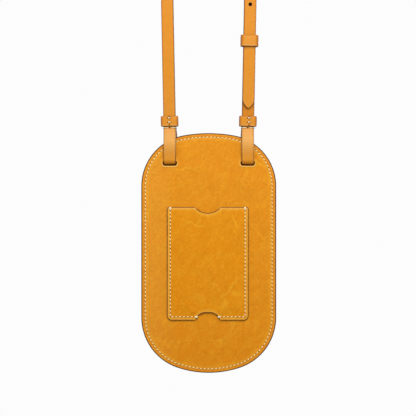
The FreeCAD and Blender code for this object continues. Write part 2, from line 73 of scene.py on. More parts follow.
camera = in_scene("camera", bpy.data.cameras.new("camera"))
camera.data.lens = camera.data.sensor_width * view_distance / view_width
camera.location = (view_x, front_face - view_distance, view_z)
camera.rotation_euler = (math.pi / 2, 0, 0)
bpy.context.scene.camera = camera
bpy.context.scene.view_settings.view_transform = "Standard"


# Light and ground
# Soft daylight from all round, a broad lamp high in front, a weaker one from the left and one behind.
# What the camera and the brass see behind the pouch is plain white, and a pale floor lies below.
sky_strength, ground_white = 0.44, 0.975
lamp_width = 0.6
lamp_aim = Vector((0, 0, -0.34))
lamps = (("high_lamp", (0.1, -0.58, 0.2), 5.45), ("left_lamp", (-0.9, -0.7, -0.2), 1.6),
         ("back_lamp", (0.35, 0.9, 0.15), 6.0))
floor_z, floor_half = -0.64, 0.9
floor_clear, floor_gone = 0.25, 0.8
floor_shaded, floor_pale, floor_glow = (0.25, 0.25, 0.25), (0.9, 0.9, 0.89), (0.22, 0.22, 0.22, 1)


def join(tree, node, inputs):
    """Sets the sockets of a node to values, or joins them to other sockets."""
    for key, value in dict(inputs).items():
        if isinstance(value, bpy.types.NodeSocket):
            tree.links.new(value, node.inputs[key])
        else:
            node.inputs[key].default_value = value


def put(tree, kind, inputs=(), **settings):
    """New shader node with its settings and its sockets."""
    made = tree.nodes.new("ShaderNode" + kind)
    for key, value in settings.items():
        setattr(made, key, value)
    join(tree, made, inputs)
    return made


def reckon(tree, operation, first, second):
    """Result of a Math node on two values."""
    return put(tree, "Math", {0: first, 1: second}, operation=operation).outputs[0]


def spread(tree, value, low, high, to_low=0.0, to_high=1.0, **settings):
    """Value carried from one range to another and held at its ends."""
    return put(tree, "MapRange", {"Value": value, "From Min": low, "From Max": high,
                                  "To Min": to_low, "To Max": to_high}, **settings).outputs["Result"]


def mix(tree, share, first, second):
    """Colour between two others, each a socket or three numbers, by a share."""
    first, second = [(*tone, 1) if isinstance(tone, tuple) else tone for tone in (first, second)]
    return put(tree, "MixRGB", {"Fac": share, "Color1": first, "Color2": second}).outputs["Color"]


def seen_rays(tree, first, *others):
    """1 for some kinds of rays, which show the ground, and 0 for those that light the pouch."""
    rays = put(tree, "LightPath").outputs
    seen = rays[first]
    for kind in others:
        seen = reckon(tree, "MAXIMUM", seen, rays[kind])
    return seen


def start_material(name, follows="Object"):
    """New material, its tree, its shader and the coordinates that its patterns follow."""
    material = bpy.data.materials.new(name)
    material.use_nodes = True
    tree = material.node_tree
    return material, tree, tree.nodes["Principled BSDF"], put(tree, "TexCoord").outputs[follows]


world = bpy.data.worlds.new("white_ground")
bpy.context.scene.world = world
world.use_nodes = True
sky = world.node_tree
sky.nodes.clear()
light, white = [put(sky, "Background", {"Color": (1, 1, 1, 1), "Strength": strength}).outputs[0]
                for strength in (sky_strength, ground_white)]
seen = seen_rays(sky, "Is Camera Ray", "Is Glossy Ray", "Is Transmission Ray")
shown = put(sky, "MixShader", {0: seen, 1: light, 2: white})
put(sky, "OutputWorld", {"Surface": shown.outputs[0]})

for name, place, power in lamps:
    lamp = in_scene(name, bpy.data.lights.new(name, "AREA"))
    lamp.data.size, lamp.data.energy = lamp_width, power
    lamp.location = place
    lamp.rotation_euler = (lamp_aim - Vector(place)).to_track_quat("-Z", "Y").to_euler()

floor = in_scene("floor", bpy.data.meshes.new("floor"))
floor_corners = [(x * floor_half, y * floor_half, floor_z) for x, y in ((-1, -1), (1, -1), (1, 1), (-1, 1))]
floor.data.from_pydata(floor_corners, [], [(0, 1, 2, 3)])
floor_paint, tree, shader, place = start_material("floor_paint")
seen = seen_rays(tree, "Is Camera Ray", "Is Glossy Ray")
flat = put(tree, "VectorMath", {0: place, 1: (1, 1, 0)}, operation="MULTIPLY")
reach = put(tree, "VectorMath", {0: flat.outputs[0]}, operation="LENGTH").outputs["Value"]
join(tree, shader, {
    "Base Color": mix(tree, seen, floor_shaded, floor_pale), "Roughness": 0.8,
    "Emission Color": floor_glow, "Emission Strength": seen,
    "Alpha": spread(tree, reach, floor_clear, floor_gone, 1.0, 0.0, interpolation_type="SMOOTHSTEP")})
floor.data.materials.append(floor_paint)


# Front panel
# One piece of tan vegetable-tanned leather with rounded ends, waxed on its grain side. Its cut edge
# is burnished dark, its seam lies in a shallow groove, and two slots with a raised lip take the strap.
panel_low, panel_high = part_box("front_panel")
half_width = panel_high.x
pouch_top, pouch_bottom = panel_high.z, panel_low.z
pouch_z = (pouch_top + pouch_bottom) / 2
panel_thickness = panel_high.y - panel_low.y
lip_radius, lip_corner = 0.115, 0.0412
foot_radius, foot_corner = 0.079, 0.0425
edge_round, rim_width = 0.0008, 0.005
seam_inset, seam_half, seam_depth = 0.0033, 0.00055, 0.00022
loop_low, loop_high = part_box("right_strap_loop")
strap_x = (loop_low.x + loop_high.x) / 2
slot_drop, slot_half, slot_height, slot_corner = 0.026, 0.00555, 0.0037, 0.0017
slot_bottom = pouch_top - slot_drop
slot_top = slot_bottom + slot_height
slot_lip, slot_lip_width = 0.0003, 0.0015
# Each slot's lower lip takes a painted highlight, where light from above falls on it.
slot_dark, slot_light, slot_lip_highlight = 0.0002, 0.0034, 0.5
# How far in from an edge painted highlights lie, and their half width.
highlight_inset, highlight_half = 0.0007, 0.0004
# Painted sheen: the panel is paler above its foot and on its left, where the light falls.
top_sheen, top_sheen_foot, top_sheen_run = 0.07, 0.018, 0.05
left_sheen, left_sheen_highlight, left_sheen_x, left_sheen_run = 0.06, 0.035, 0.022, 0.022
swell_height, swell_run = 0.00006, 0.012
swell_waves = ((95, 40, 0), (-60, 70, 1), (0, 150, 2))
slot_stiff, slot_run = 0.002, 0.01
pressed_half, pressed_z, pressed_half_height, pressed_run = 0.034, -0.366, 0.0455, 0.01
outline_step, slot_step, net_spacing = 0.001, 0.0004, 0.002
round_points, groove_points, lip_points = 6, 7, 8
joined_points, joined_net, sharp_angle = 1e-6, 1e-8, math.radians(50)
quarter = math.pi / 2
# The pale that wear and painted highlights lighten the leather towards is set here beside the burnt edge.
burnt_edge, wear_and_highlight_pale = (0.075, 0.022, 0.006), (0.9, 0.62, 0.24)
panel_tan, panel_pale, panel_halo = (0.718, 0.239, 0.003), (0.86, 0.43, 0.02), (0.78, 0.32, 0.015)
panel_band, panel_bevel_highlight = (0.7, 0.228, 0.004), (0.77, 0.27, 0.012)
stray_noise, stray_reach = (130.0, 6.0, 0.65), 0.011
vein_scale, vein_width, vein_share, vein_noise, vein_range = 42.0, 0.04, 0.55, (34.0, 2.0), (0.5, 0.62)
streak_turn, streak_long, streak_noise = 0.65, 1.8, (230.0, 10.0, 0.68, 0.8)
streak_range, streak_share = (0.45, 0.8), 0.5
scar_ways, scar_long, scar_noise = ((0.42, 120.0), (-0.5, 130.0)), 7, (5.0, 0.62, 0.3)
scar_range, scar_share, marked_inset = (0.62, 0.74), 0.6, (0.0005, 0.0012)
cloud_noise, mottle_noise, cloud_range = (60.0, 10.0, 0.78), (480.0, 3.0, 0.6), (0.3, 0.7)
darker, lighter, smoother, rougher = 0.07, 0.06, 0.08, 0.12
pore_scale, grain_noise, pore_strength, pore_depth = 1300.0, (700.0, 4.0), 0.35, 0.00012


def arc_path(arcs, step):
    """Closed outline of arcs joined by straight lines, as rows of x, z and the outward direction.

    An arc is its centre x and z, its radius, and its start and end angle: each point is the centre plus
    the radius along its angle. Where the angle falls, the arc is a notch and outward is to its centre.
    """
    rows = []
    for number, (x, z, radius, start, end) in enumerate(arcs):
        turn = 1 if end >= start else -1
        count = max(2, round(radius * abs(end - start) / step))
        angle = start + (end - start) * np.arange(count) / count
        way = np.column_stack([np.cos(angle), np.sin(angle)])
        rows.append(np.hstack([(x, z) + radius * way, turn * way]))
        last_way = np.array([math.cos(end), math.sin(end)])
        last = (x, z) + radius * last_way
        x, z, radius, start, end = arcs[(number + 1) % len(arcs)]
        line = (x, z) + radius * np.array([math.cos(start), math.sin(start)]) - last
        count = round(np.hypot(*line) / step)
        share = np.arange(count)[:, None] / max(count, 1)
        rows.append(np.hstack([last + line * share, np.tile(turn * last_way, (count, 1))]))
    return np.concatenate(rows)


def corner_place(radius, corner):
    """Where an end's corner arcs are centred: their distance from the middle, their drop under the end's
    highest point and the angle that they turn, from arcs that touch the side and the end's large arc."""
    x = half_width - corner
    drop = radius - math.sqrt((radius - corner) ** 2 - x ** 2)
    return x, drop, math.atan2(radius - drop, x)


def pouch_outline(step):
    """Outline of the pouch, anticlockwise: at each end two corner arcs and a flatter arc between them."""
    lip_x, lip_drop, lip_turn = corner_place(lip_radius, lip_corner)
    foot_x, foot_drop, foot_turn = corner_place(foot_radius, foot_corner)
    high, low = pouch_top - lip_drop, pouch_bottom + foot_drop
    half, whole = 2 * quarter, 4 * quarter
    return arc_path([
        (lip_x, high, lip_corner, 0, lip_turn),
        (0, pouch_top - lip_radius, lip_radius, lip_turn, half - lip_turn),
        (-lip_x, high, lip_corner, half - lip_turn, half),
        (-foot_x, low, foot_corner, half, half + foot_turn),
        (0, pouch_bottom + foot_radius, foot_radius, half + foot_turn, whole - foot_turn),
        (foot_x, low, foot_corner, whole - foot_turn, whole),
    ], step)


def rounded_box(x, low, high, half, radius, step):
    """Outline of a rectangle with rounded corners, anticlockwise from its right side."""
    left, right, bottom, top = x - half + radius, x + half - radius, low + radius, high - radius
    corners = ((right, top), (left, top), (left, bottom), (right, bottom))
    return arc_path([(*corner, radius, turn * quarter, (turn + 1) * quarter)
                     for turn, corner in enumerate(corners)], step)


def end_inset(x, rise, radius, corner):
    """Distance in from one end of the outline and its sides: from the side under the corner's centre, and
    above it from the corner's arc or the end's arc, whichever is faced. rise counts up to the end."""
    corner_x, drop, turn = corner_place(radius, corner)
    above = rise + drop
    across = np.abs(x) - corner_x
    faced = np.where(np.arctan2(above, across) < turn, corner - np.hypot(across, above),
                     radius - np.hypot(x, above + radius - drop))
    return np.where(above <= 0, half_width - np.abs(x), faced)


def pouch_inset(x, z, open_top=False):
    """Distance in from the pouch's outline, with its lip left out where the top is open."""
    side = half_width - np.abs(x)
    lip = side if open_top else end_inset(x, z - pouch_top, lip_radius, lip_corner)
    return np.where(z > pouch_z, lip, end_inset(x, pouch_bottom - z, foot_radius, foot_corner))


def slot_distance(x, z):
    """Distance out from the nearer slot: length of what lies past its rounded rectangle."""
    across = np.abs(np.abs(x) - strap_x) - slot_half + slot_corner
    above = np.abs(z - slot_bottom - slot_height / 2) - slot_height / 2 + slot_corner
    outside = np.hypot(np.maximum(across, 0), np.maximum(above, 0))
    return outside + np.minimum(np.maximum(across, above), 0) - slot_corner


def grid_faces(rows, columns, count=1):
    """Quads between neighbouring points of some grids of one size, whose last column meets the first."""
    index = np.arange(count * rows * columns).reshape(count, rows, columns)
    index = np.concatenate([index, index[..., :1]], axis=-1)
    upper, lower = index[:, :-1], index[:, 1:]
    quads = np.stack([upper[..., :-1], upper[..., 1:], lower[..., 1:], lower[..., :-1]], axis=-1)
    return quads.reshape(-1, 4)


def carried(path, inset, depth):
    """Profile of inset and depth carried round an outline: one ring of points for each profile point, and
    the quads between them."""
    x = path[:, 0] - inset[:, None] * path[:, 2]
    z = path[:, 1] - inset[:, None] * path[:, 3]
    return np.stack([x, np.broadcast_to(depth[:, None], x.shape), z], axis=-1), grid_faces(*x.shape)


def flat_net(rings, room, spacing, level):
    """Triangles over the flat inside some rings: a Delaunay net of the rings and of a grid of inner points,
    less the triangles whose middle has no room. Gives the net's points at a level, and its triangles."""
    loops = [ring[:, ::2] for ring in rings]
    low, high = loops[0].min(axis=0), loops[0].max(axis=0)
    grid = np.meshgrid(np.arange(low[0], high[0], spacing), np.arange(low[1], high[1], spacing))
    inner = np.stack(grid, axis=-1).reshape(-1, 2)
    inner = inner[room(*inner.T) > spacing / 2]
    edges, start = [], 0
    for loop in loops:
        index = np.arange(len(loop)) + start
        edges += np.column_stack([index, np.roll(index, -1)]).tolist()
        start += len(loop)
    points = np.concatenate(loops + [inner])
    net = delaunay_2d_cdt([Vector(point) for point in points.tolist()], edges, [], 0, joined_net)
    flat, triangles = np.array([point[:] for point in net[0]]), np.array(net[2])
    triangles = triangles[room(*flat[triangles].mean(axis=1).T) > 0]
    return np.column_stack([flat[:, 0], np.full(len(flat), level), flat[:, 1]]), triangles


def new_piece(name, points, faces):
    """Object whose mesh has some points and faces."""
    piece = in_scene(name, bpy.data.meshes.new(name))
    piece.data.from_pydata(points.reshape(-1, 3).tolist(), [], faces)
    return piece


def close_mesh(mesh, nearest):
    """Joins the points of a mesh that lie nearer than some distance, and turns its faces outwards."""
    work = bmesh.new()
    work.from_mesh(mesh)
    bmesh.ops.remove_doubles(work, verts=work.verts, dist=nearest)
    bmesh.ops.recalc_face_normals(work, faces=work.faces)
    work.to_mesh(mesh)
    work.free()


def smooth_piece(piece):
    """Closes a piece's mesh and shades it smooth, except where it turns sharply."""
    close_mesh(piece.data, joined_points)
    piece.data.shade_smooth()
    piece.data.set_sharp_from_angle(angle=sharp_angle)


def make_piece(name, parts):
    """Closed piece from parts, each some points and their faces, joined where they meet."""
    starts = np.cumsum([0] + [points.size // 3 for points, faces in parts])
    joined = [row for (points, faces), start in zip(parts, starts) for row in (faces + start).tolist()]
    piece = new_piece(name, np.concatenate([points.reshape(-1, 3) for points, faces in parts]), joined)
    smooth_piece(piece)
    return piece


def points_of(piece):
    """The x, y and z of a piece's points, as three arrays."""
    places = np.empty(len(piece.data.vertices) * 3)
    piece.data.vertices.foreach_get("co", places)
    return places.reshape(-1, 3).T


def mark(piece, name, values):
    """Stores a number for each point of a piece, which its material reads."""
    marks = piece.data.attributes.new(name, "FLOAT", "POINT")
    marks.data.foreach_set("value", np.asarray(values, np.float32).ravel())


def fit(piece, material, slot, body, *nodes):
    """Gives a piece its material and the body it rides on, in place of some nodes. Its slot is not used."""
    piece.data.materials.append(material)
    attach(piece, body)
    if nodes:
        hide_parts(*nodes)


def smooth_step(value):
    """Rise from 0 to 1 that starts and ends gently: three squares less two cubes."""
    share = np.clip(value, 0, 1)
    return share * share * (3 - 2 * share)


def bell(value, middle, half):
    """Bell curve about a middle: falling exponential of the square of the distance over a half width."""
    return np.exp(-((value - middle) / half) ** 2)


def edge_profile(thickness, radius):
    """Inset and depth from the back of a cut edge to its front face, over a quarter round at the front."""
    angle = np.linspace(0, quarter, round_points)
    inset = np.concatenate([[0], radius - radius * np.cos(angle)])
    return inset, np.concatenate([[thickness], radius - radius * np.sin(angle)])


def sewn_profile(thickness, radius, groove):
    """Edge profile that goes on over a shallow groove about the seam: its depth times the square of the
    cosine across it."""
    share = np.linspace(-1, 1, groove_points)
    inset, depth = edge_profile(thickness, radius)
    return (np.concatenate([inset, seam_inset + seam_half * share]),
            np.concatenate([depth, groove * np.cos(share * quarter) ** 2]))


def panel_swell(x, z):
    """Slow unevenness of the hide: a sum of sine waves, left out near its edge and its slots and under the
    pocket."""
    wave = sum(np.sin(across * x + up * z + start) for across, up, start in swell_waves)
    free = smooth_step((pouch_inset(x, z) - rim_width) / swell_run)
    free = free * smooth_step((slot_distance(x, z) - slot_stiff) / slot_run)
    pocket = np.maximum(np.abs(x) - pressed_half, np.abs(z - pressed_z) - pressed_half_height)
    return -swell_height * wave * free * smooth_step(pocket / pressed_run)


def slotted_sheet(name, face, thickness, radius, groove, lip):
    """Sheet with the pouch's outline and the two strap slots: a rim and two slot edges carried round
    their outlines, and a net over the face and the back between them. Its colour takes painted sheen by
    smooth steps: paler above the foot, and paler again on the left. Each slot's lower lip takes a painted
    highlight."""
    inset, depth = sewn_profile(thickness, radius, groove)
    parts = [carried(pouch_outline(outline_step), np.concatenate([[rim_width], inset, [rim_width]]),
                     face + np.concatenate([[thickness], depth, [0]]))]
    out = np.linspace(0, 1, lip_points)[1:]
    cut_inset, cut_depth = edge_profile(thickness, radius / 2)
    cut_inset = np.concatenate([-cut_inset, -slot_lip_width * out])
    cut_depth = np.concatenate([cut_depth, -lip * np.sin(out * math.pi)])
    for side in (-1, 1):
        edge = rounded_box(side * strap_x, slot_bottom, slot_top, slot_half, slot_corner, slot_step)
        parts.append(carried(edge, cut_inset, face + cut_depth))
    edges = parts[:]
    for ring, margin, level in ((-1, slot_lip_width, face), (0, 0, face + thickness)):
        parts.append(flat_net([points[ring] for points, faces in edges], lambda x, z: np.minimum(
            pouch_inset(x, z) - rim_width, slot_distance(x, z) - margin), net_spacing, level))
    x, y, z = parts[len(edges)][0].T
    y += (lip > 0) * panel_swell(x, z)
    piece = make_piece(name, parts)
    x, y, z = points_of(piece)
    inset, slot = pouch_inset(x, z), slot_distance(x, z)
    mark(piece, "inset", np.minimum(inset, np.where(slot < slot_dark, 0, slot_light + slot)))
    lower = smooth_step((slot_top - z) / slot_height)
    above = smooth_step((z - pouch_bottom - top_sheen_foot) / top_sheen_run)
    left = smooth_step((-x - left_sheen_x) / left_sheen_run)
    # Painted highlight on the lower lip of each slot.
    lit_rim = slot_lip_highlight * lower * bell(slot, highlight_inset, highlight_half)
    mark(piece, "wear_and_highlight", lit_rim + left_sheen_highlight * left * (inset > seam_inset))
    mark(piece, "painted_sheen", (top_sheen * above + left_sheen * left) * (inset > rim_width))
    return piece


def noise(tree, place, scale, detail, roughness=0.5, distortion=0.0, output="Fac"):
    """Noise with so many waves to the metre, and its detail, roughness and distortion."""
    return put(tree, "TexNoise", {"Vector": place, "Scale": scale, "Detail": detail, "Roughness": roughness,
                                  "Distortion": distortion}).outputs[output]


def drawn_out(tree, place, turn, long):
    """Coordinates turned in the panel's plane and drawn out, for marks that are longer than wide."""
    return put(tree, "Mapping", {"Vector": place, "Rotation": (0, turn, 0), "Scale": (1, 1, long)},
               vector_type="TEXTURE").outputs[0]


def bump(tree, height, strength, distance):
    """Normal of a surface that rises by a height."""
    return put(tree, "Bump", {"Height": height, "Strength": strength, "Distance": distance}).outputs["Normal"]


def leather(name, stops, pale, shine, gloss, lively):
    """Waxed leather: its colour follows the distance from the cut edge, lightened by wear and by painted
    highlights and painted sheen, with fine mottles, slow clouds, faint branching veins and slanting marks,
    and pores in its bump."""
    material, tree, shader, place = start_material(name)
    inset, wear_and_highlight, painted_sheen = [put(tree, "Attribute", attribute_name=key).outputs["Fac"]
                          for key in ("inset", "wear_and_highlight", "painted_sheen")]
    ramp = put(tree, "ValToRGB", {"Fac": spread(tree, inset, 0, stops[-1][0])})
    spots = ramp.color_ramp.elements
    while len(spots) < len(stops):
        spots.new(1)
    for spot, (distance, colour) in zip(spots, stops):
        spot.position = distance / stops[-1][0]
        spot.color = (*colour, 1)
    hide = mix(tree, wear_and_highlight, mix(tree, painted_sheen, ramp.outputs["Color"], pale), wear_and_highlight_pale)
    stray = put(tree, "VectorMath", {0: noise(tree, place, *stray_noise, output="Color"),
                                     1: [stray_reach] * 3}, operation="MULTIPLY")
    stray = put(tree, "VectorMath", {0: place, 1: stray.outputs[0]}, operation="ADD").outputs[0]
    cells = put(tree, "TexVoronoi", {"Vector": stray, "Scale": vein_scale}, feature="DISTANCE_TO_EDGE")
    veins = spread(tree, cells.outputs["Distance"], 0, vein_width, vein_share * lively, 0.0)
    veins = reckon(tree, "MULTIPLY", veins, spread(tree, noise(tree, place, *vein_noise), *vein_range))
    streaks = noise(tree, drawn_out(tree, place, streak_turn, streak_long), *streak_noise)
    marks = reckon(tree, "MAXIMUM", veins, spread(tree, streaks, *streak_range, 0.0, streak_share * lively))
    for turn, scale in scar_ways:
        scars = noise(tree, drawn_out(tree, place, turn, scar_long), scale, *scar_noise)
        marks = reckon(tree, "MAXIMUM", marks, spread(tree, scars, *scar_range, 0.0, scar_share * lively))
    marks = reckon(tree, "MULTIPLY", marks, spread(tree, inset, *marked_inset))
    clouds, mottles = [
        spread(tree, noise(tree, place, *fine), *cloud_range, 1 - darker * lively, 1 + lighter * lively)
        for fine in (cloud_noise, mottle_noise)]
    toned = put(tree, "HueSaturation", {"Color": mix(tree, marks, hide, pale),
                                        "Value": reckon(tree, "MULTIPLY", clouds, mottles)})
    pores = put(tree, "TexVoronoi", {"Vector": place, "Scale": pore_scale}, feature="SMOOTH_F1")
    grain = noise(tree, place, *grain_noise)
    relief = reckon(tree, "ADD", pores.outputs["Distance"], grain)
    join(tree, shader, {
        "Base Color": toned.outputs["Color"], "Specular IOR Level": gloss,
        "Roughness": spread(tree, grain, 0, 1, shine - smoother, shine + rougher),
        "Normal": bump(tree, relief, pore_strength, pore_depth)})
    return material


# The bevel stops of this ramp paint a highlight on the rounded front edge.
panel_leather = leather("panel_leather", [
    (0, burnt_edge), (0.00066, burnt_edge), (0.0011, panel_bevel_highlight), (0.0015, panel_bevel_highlight), (0.002, panel_band),
    (0.0026, panel_band), (0.0036, panel_halo), (0.0065, panel_tan)],
    panel_pale, shine=0.5, gloss=0.14, lively=1.0)
front_panel = slotted_sheet("front_panel_leather", front_face, panel_thickness, edge_round, seam_depth,
                            slot_lip)
fit(front_panel, panel_leather, "panel_leather", "pouch", "front_panel")


# Front lining
# Thin split leather glued to the back of the front panel, suede side inwards. Only its cut edge shows
# at the rim, and its nap in the mouth.
lining_low, lining_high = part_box("front_lining")
lining_thickness = lining_high.y - lining_low.y
lining_round = 0.0001
nap_noise, patch_noise, nap_range = (900.0, 6.0, 0.7), (60.0, 3.0), (0.1, 0.4)
nap_strength, nap_depth = 0.6, 0.0002


def suede(name, dark, light):
    """Napped leather: two browns in fine noise, with a soft sheen and a fibrous bump."""
    material, tree, shader, place = start_material(name)
    nap = noise(tree, place, *nap_noise)
    share = spread(tree, reckon(tree, "MULTIPLY", nap, noise(tree, place, *patch_noise)), *nap_range)
    join(tree, shader, {"Base Color": mix(tree, share, dark, light), "Roughness": 0.92, "Sheen Weight": 0.3,
                        "Normal": bump(tree, nap, nap_strength, nap_depth)})
    return material


lining_suede = suede("lining_suede", dark=(0.2, 0.08, 0.02), light=(0.44, 0.2, 0.06))
front_lining = slotted_sheet("front_lining_suede", lining_low.y, lining_thickness, lining_round, 0, 0)
fit(front_lining, lining_suede, "lining_leather", "pouch", "front_lining")


# Back panel and its lining
# A second panel of the same leather, wetted and pressed over a block, so that it makes a shallow tray
# for the phone. Its rim is sewn flat to the front on the sides and the bottom and is open at the mouth.
mould_margin, mould_run = 0.005, 0.015
wall_end, tray_start, tray_step = 0.021, 0.0225, 0.004
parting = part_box("back_lining")[0].y
lining_back = parting + lining_thickness
mould_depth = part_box("back_panel")[1].y - lining_back - panel_thickness


def mould(x, z):
    """Depth of the pressed tray: one less the square of what is left of its run from the seam."""
    share = np.clip((pouch_inset(x, z, open_top=True) - mould_margin) / mould_run, 0, 1)
    return mould_depth * (1 - (1 - share) ** 2)


def moulded_sheet(name, inner, thickness, radius, groove):
    """Pressed sheet: rings of the outline from its edge to the middle, laid on the tray's depth for the
    inner face and its thickness further back for the outer one."""
    inset, depth = sewn_profile(thickness, radius, groove)
    field = np.concatenate([np.arange(rim_width, wall_end, outline_step),
                            np.arange(tray_start, lip_corner, tray_step), [lip_corner]])
    inset = np.concatenate([field[::-1], inset, field])
    depth = np.concatenate([np.full(len(field), thickness), depth, np.zeros(len(field))])
    rings = carried(pouch_outline(outline_step), inset, depth)[0]
    rings = np.concatenate([rings[:1] * (0, 1, 1), rings, rings[-1:] * (0, 1, 1)])
    x, deep, z = np.moveaxis(rings, -1, 0)
    rings = np.stack([x, inner + mould(x, z) + thickness - deep, z], axis=-1)
    piece = make_piece(name, [(rings, grid_faces(*x.shape))])
    x, y, z = points_of(piece)
    mark(piece, "inset", pouch_inset(x, z))
    return piece


back_panel = moulded_sheet("back_panel_leather", lining_back, panel_thickness, edge_round, seam_depth)
fit(back_panel, panel_leather, "panel_leather", "pouch", "back_panel")
back_lining = moulded_sheet("back_lining_suede", parting, lining_thickness, lining_round, 0)
fit(back_lining, lining_suede, "lining_leather", "pouch", "back_lining")


# Card pocket
# A patch of the same leather sewn on by its sides and its bottom, with a shallow thumb notch at the top
# and a deeper notch at the bottom to push the card out. It stands away from the panel round the card.
pocket_low, pocket_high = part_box("card_pocket")
pocket_x = (pocket_low.x + pocket_high.x) / 2
pocket_half = pocket_high.x - pocket_x
pocket_top, pocket_bottom = pocket_high.z, pocket_low.z
pocket_thickness, pocket_round = 0.0012, 0.0004
pocket_gap = pocket_high.y - pocket_low.y - pocket_thickness
pocket_corner, pocket_top_corner = 0.0038, 0.0006
thumb_radius, thumb_depth, thumb_lip = 0.0134, 0.0046, 0.003
push_radius, push_depth, push_flat, push_lip = 0.008, 0.0062, 0.0017, 0.0024
pocket_seam_inset, pocket_groove, pocket_groove_half = 0.0026, 0.0001, 0.0007
rise_start, rise_run, foot_rise_run = 0.0028, 0.0042, 0.009
notch_reach, notch_run = 0.0095, 0.008
pocket_step, pocket_spacing, pocket_top_highlight = 0.0005, 0.0011, 0.35
pocket_tan, pocket_edge_highlight = (0.73, 0.252, 0.002), (0.87, 0.4, 0.06)


def notch_arcs(radius, depth, flat, lip, edge, up):
    """Lip, notch and lip along an edge: the notch's two shoulders stand off the edge, either side of its flat
    middle, and each lip touches its shoulder and the edge."""
    rise = radius - depth
    across = math.sqrt((radius + lip) ** 2 - (rise + lip) ** 2)
    tilt = math.atan2(rise + lip, across)
    turn = 2 * quarter if up < 0 else 0
    return [
        (up * (flat + across), edge - up * lip, lip, turn + quarter, turn + 2 * quarter - tilt),
        (up * flat, edge + up * rise, radius, turn - tilt, turn - quarter),
        (-up * flat, edge + up * rise, radius, turn - quarter, turn + tilt - 2 * quarter),
        (-up * (flat + across), edge - up * lip, lip, turn + tilt, turn + quarter),
    ]


def pocket_outline(step):
    """Outline of the pocket, anticlockwise from its top right corner, with a notch in its top and bottom."""
    high, wide = pocket_top - pocket_top_corner, pocket_half - pocket_top_corner
    low, near = pocket_bottom + pocket_corner, pocket_half - pocket_corner
    return arc_path([
        (wide, high, pocket_top_corner, 0, quarter),
        *notch_arcs(thumb_radius, thumb_depth, 0, thumb_lip, pocket_top, 1),
        (-wide, high, pocket_top_corner, quarter, 2 * quarter),
        (-near, low, pocket_corner, 2 * quarter, 3 * quarter),
        *notch_arcs(push_radius, push_depth, push_flat, push_lip, pocket_bottom, -1),
        (near, low, pocket_corner, 3 * quarter, 4 * quarter),
    ], step)


def pocket_inset(x, z):
    """Distance in from the pocket's edge: the least of its distances from the sides, ends and notches."""
    thumb_z = pocket_top + thumb_radius - thumb_depth
    push_z = pocket_bottom - push_radius + push_depth
    across = np.abs(x) - pocket_half + pocket_corner
    under = pocket_bottom + pocket_corner - z
    corner = np.where((across > 0) & (under > 0), pocket_corner - np.hypot(across, under), 1)
    return np.minimum.reduce([
        pocket_half - np.abs(x), pocket_top - z, z - pocket_bottom, corner,
        np.hypot(x, z - thumb_z) - thumb_radius,
        np.hypot(np.maximum(np.abs(x) - push_flat, 0), z - push_z) - push_radius])


def pocket_rise(x, z):
    """How far the patch stands off the panel: nothing at the seams, and the card's room further in, by smooth
    steps. The step up from the foot is shorter at the push notch, where no seam holds the patch down."""
    sides = smooth_step((pocket_half - np.abs(x) - rise_start) / rise_run)
    foot_run = rise_run + (foot_rise_run - rise_run) * smooth_step((np.abs(x) - notch_reach) / notch_run)
    return pocket_gap * sides * smooth_step((z - pocket_bottom - rise_start) / foot_run)


rim = carried(pocket_outline(pocket_step), *edge_profile(pocket_thickness, pocket_round))
pocket_parts = [
    rim, flat_net([rim[0][-1]], lambda x, z: pocket_inset(x, z) - pocket_round, pocket_spacing, 0.0),
    flat_net([rim[0][0]], pocket_inset, net_spacing, pocket_thickness)]
for points, faces in pocket_parts:
    x, y, z = np.moveaxis(points, -1, 0)
    seam = np.minimum(pocket_half - np.abs(x), z - pocket_bottom)
    groove = np.where(y == 0, pocket_groove * bell(seam, pocket_seam_inset, pocket_groove_half), 0)
    y += front_face - pocket_thickness - pocket_rise(x, z) + groove
    x += pocket_x
card_pocket = make_piece("card_pocket_leather", pocket_parts)
x, y, z = points_of(card_pocket)
mark(card_pocket, "inset", pocket_inset(x - pocket_x, z))
# Painted highlight along the pocket's top edge.
mark(card_pocket, "wear_and_highlight", pocket_top_highlight * bell(pocket_top - z, highlight_inset, highlight_half))
# This ramp paints a highlight just inside the pocket's burnt edge.
pocket_leather = leather("pocket_leather", [
    (0, burnt_edge), (0.00038, burnt_edge), (0.00068, pocket_edge_highlight), (0.0014, panel_halo),
    (0.0021, panel_halo), (0.0032, pocket_tan), (0.006, pocket_tan)],
    panel_pale, shine=0.5, gloss=0.11, lively=1.0)
fit(card_pocket, pocket_leather, "panel_leather", "pouch", "card_pocket")


# Seams of the pouch
# Saddle stitches of waxed cream linen, three millimetres apart: each dives into a punched hole at both
# ends and lies a little aslant in its groove.
stitch_pitch, stitch_length, stitch_radius, stitch_rise = 0.003, 0.0024, 0.00038, 0.00036
stitch_slant = math.radians(17)
bar_sides, bar_rings, bar_dive, bar_flat = 6, 8, 2.6, 0.8
hole_radius, hole_sides = 0.0006, 8
hole_reach, hole_level = np.array([0, 0.7, 1, 0]), np.array([0.09, 0.07, -0.05, -0.6])
joined_thread = 1e-7
ply_scale, ply_wave, ply_stray, ply_groove_shade = (1400.0, 2.0, 1.0), 0.32, 0.6, 0.84
ply_strength, ply_depth = 0.5, 0.0001
hole_dark, hole_brown, hole_pale = (0.04, 0.013, 0.003), (0.08, 0.026, 0.007), (0.06, 0.02, 0.006)
flat_rim, seam_step = 0.0042, 0.0005


def length_along(line):
    """Length along a line of x and z, from its start to each of its points."""
    return np.concatenate([[0], np.cumsum(np.hypot(*np.diff(line[:, :2], axis=0).T))])


def round_angles(count):
    """Angles evenly spaced round a circle."""
    return np.arange(count) / count * 2 * math.pi


def even_places(path, pitch, closed=True, start=0.5):
    """Places a pitch apart along a path of x, z and outward direction, by its length, from a share of it."""
    line = np.vstack([path, path[:1]]) if closed else path
    run = length_along(line)
    count = max(1, round(run[-1] / pitch))
    places = (np.arange(count) + start) * run[-1] / count
    return np.column_stack([np.interp(places, run, column) for column in line.T])


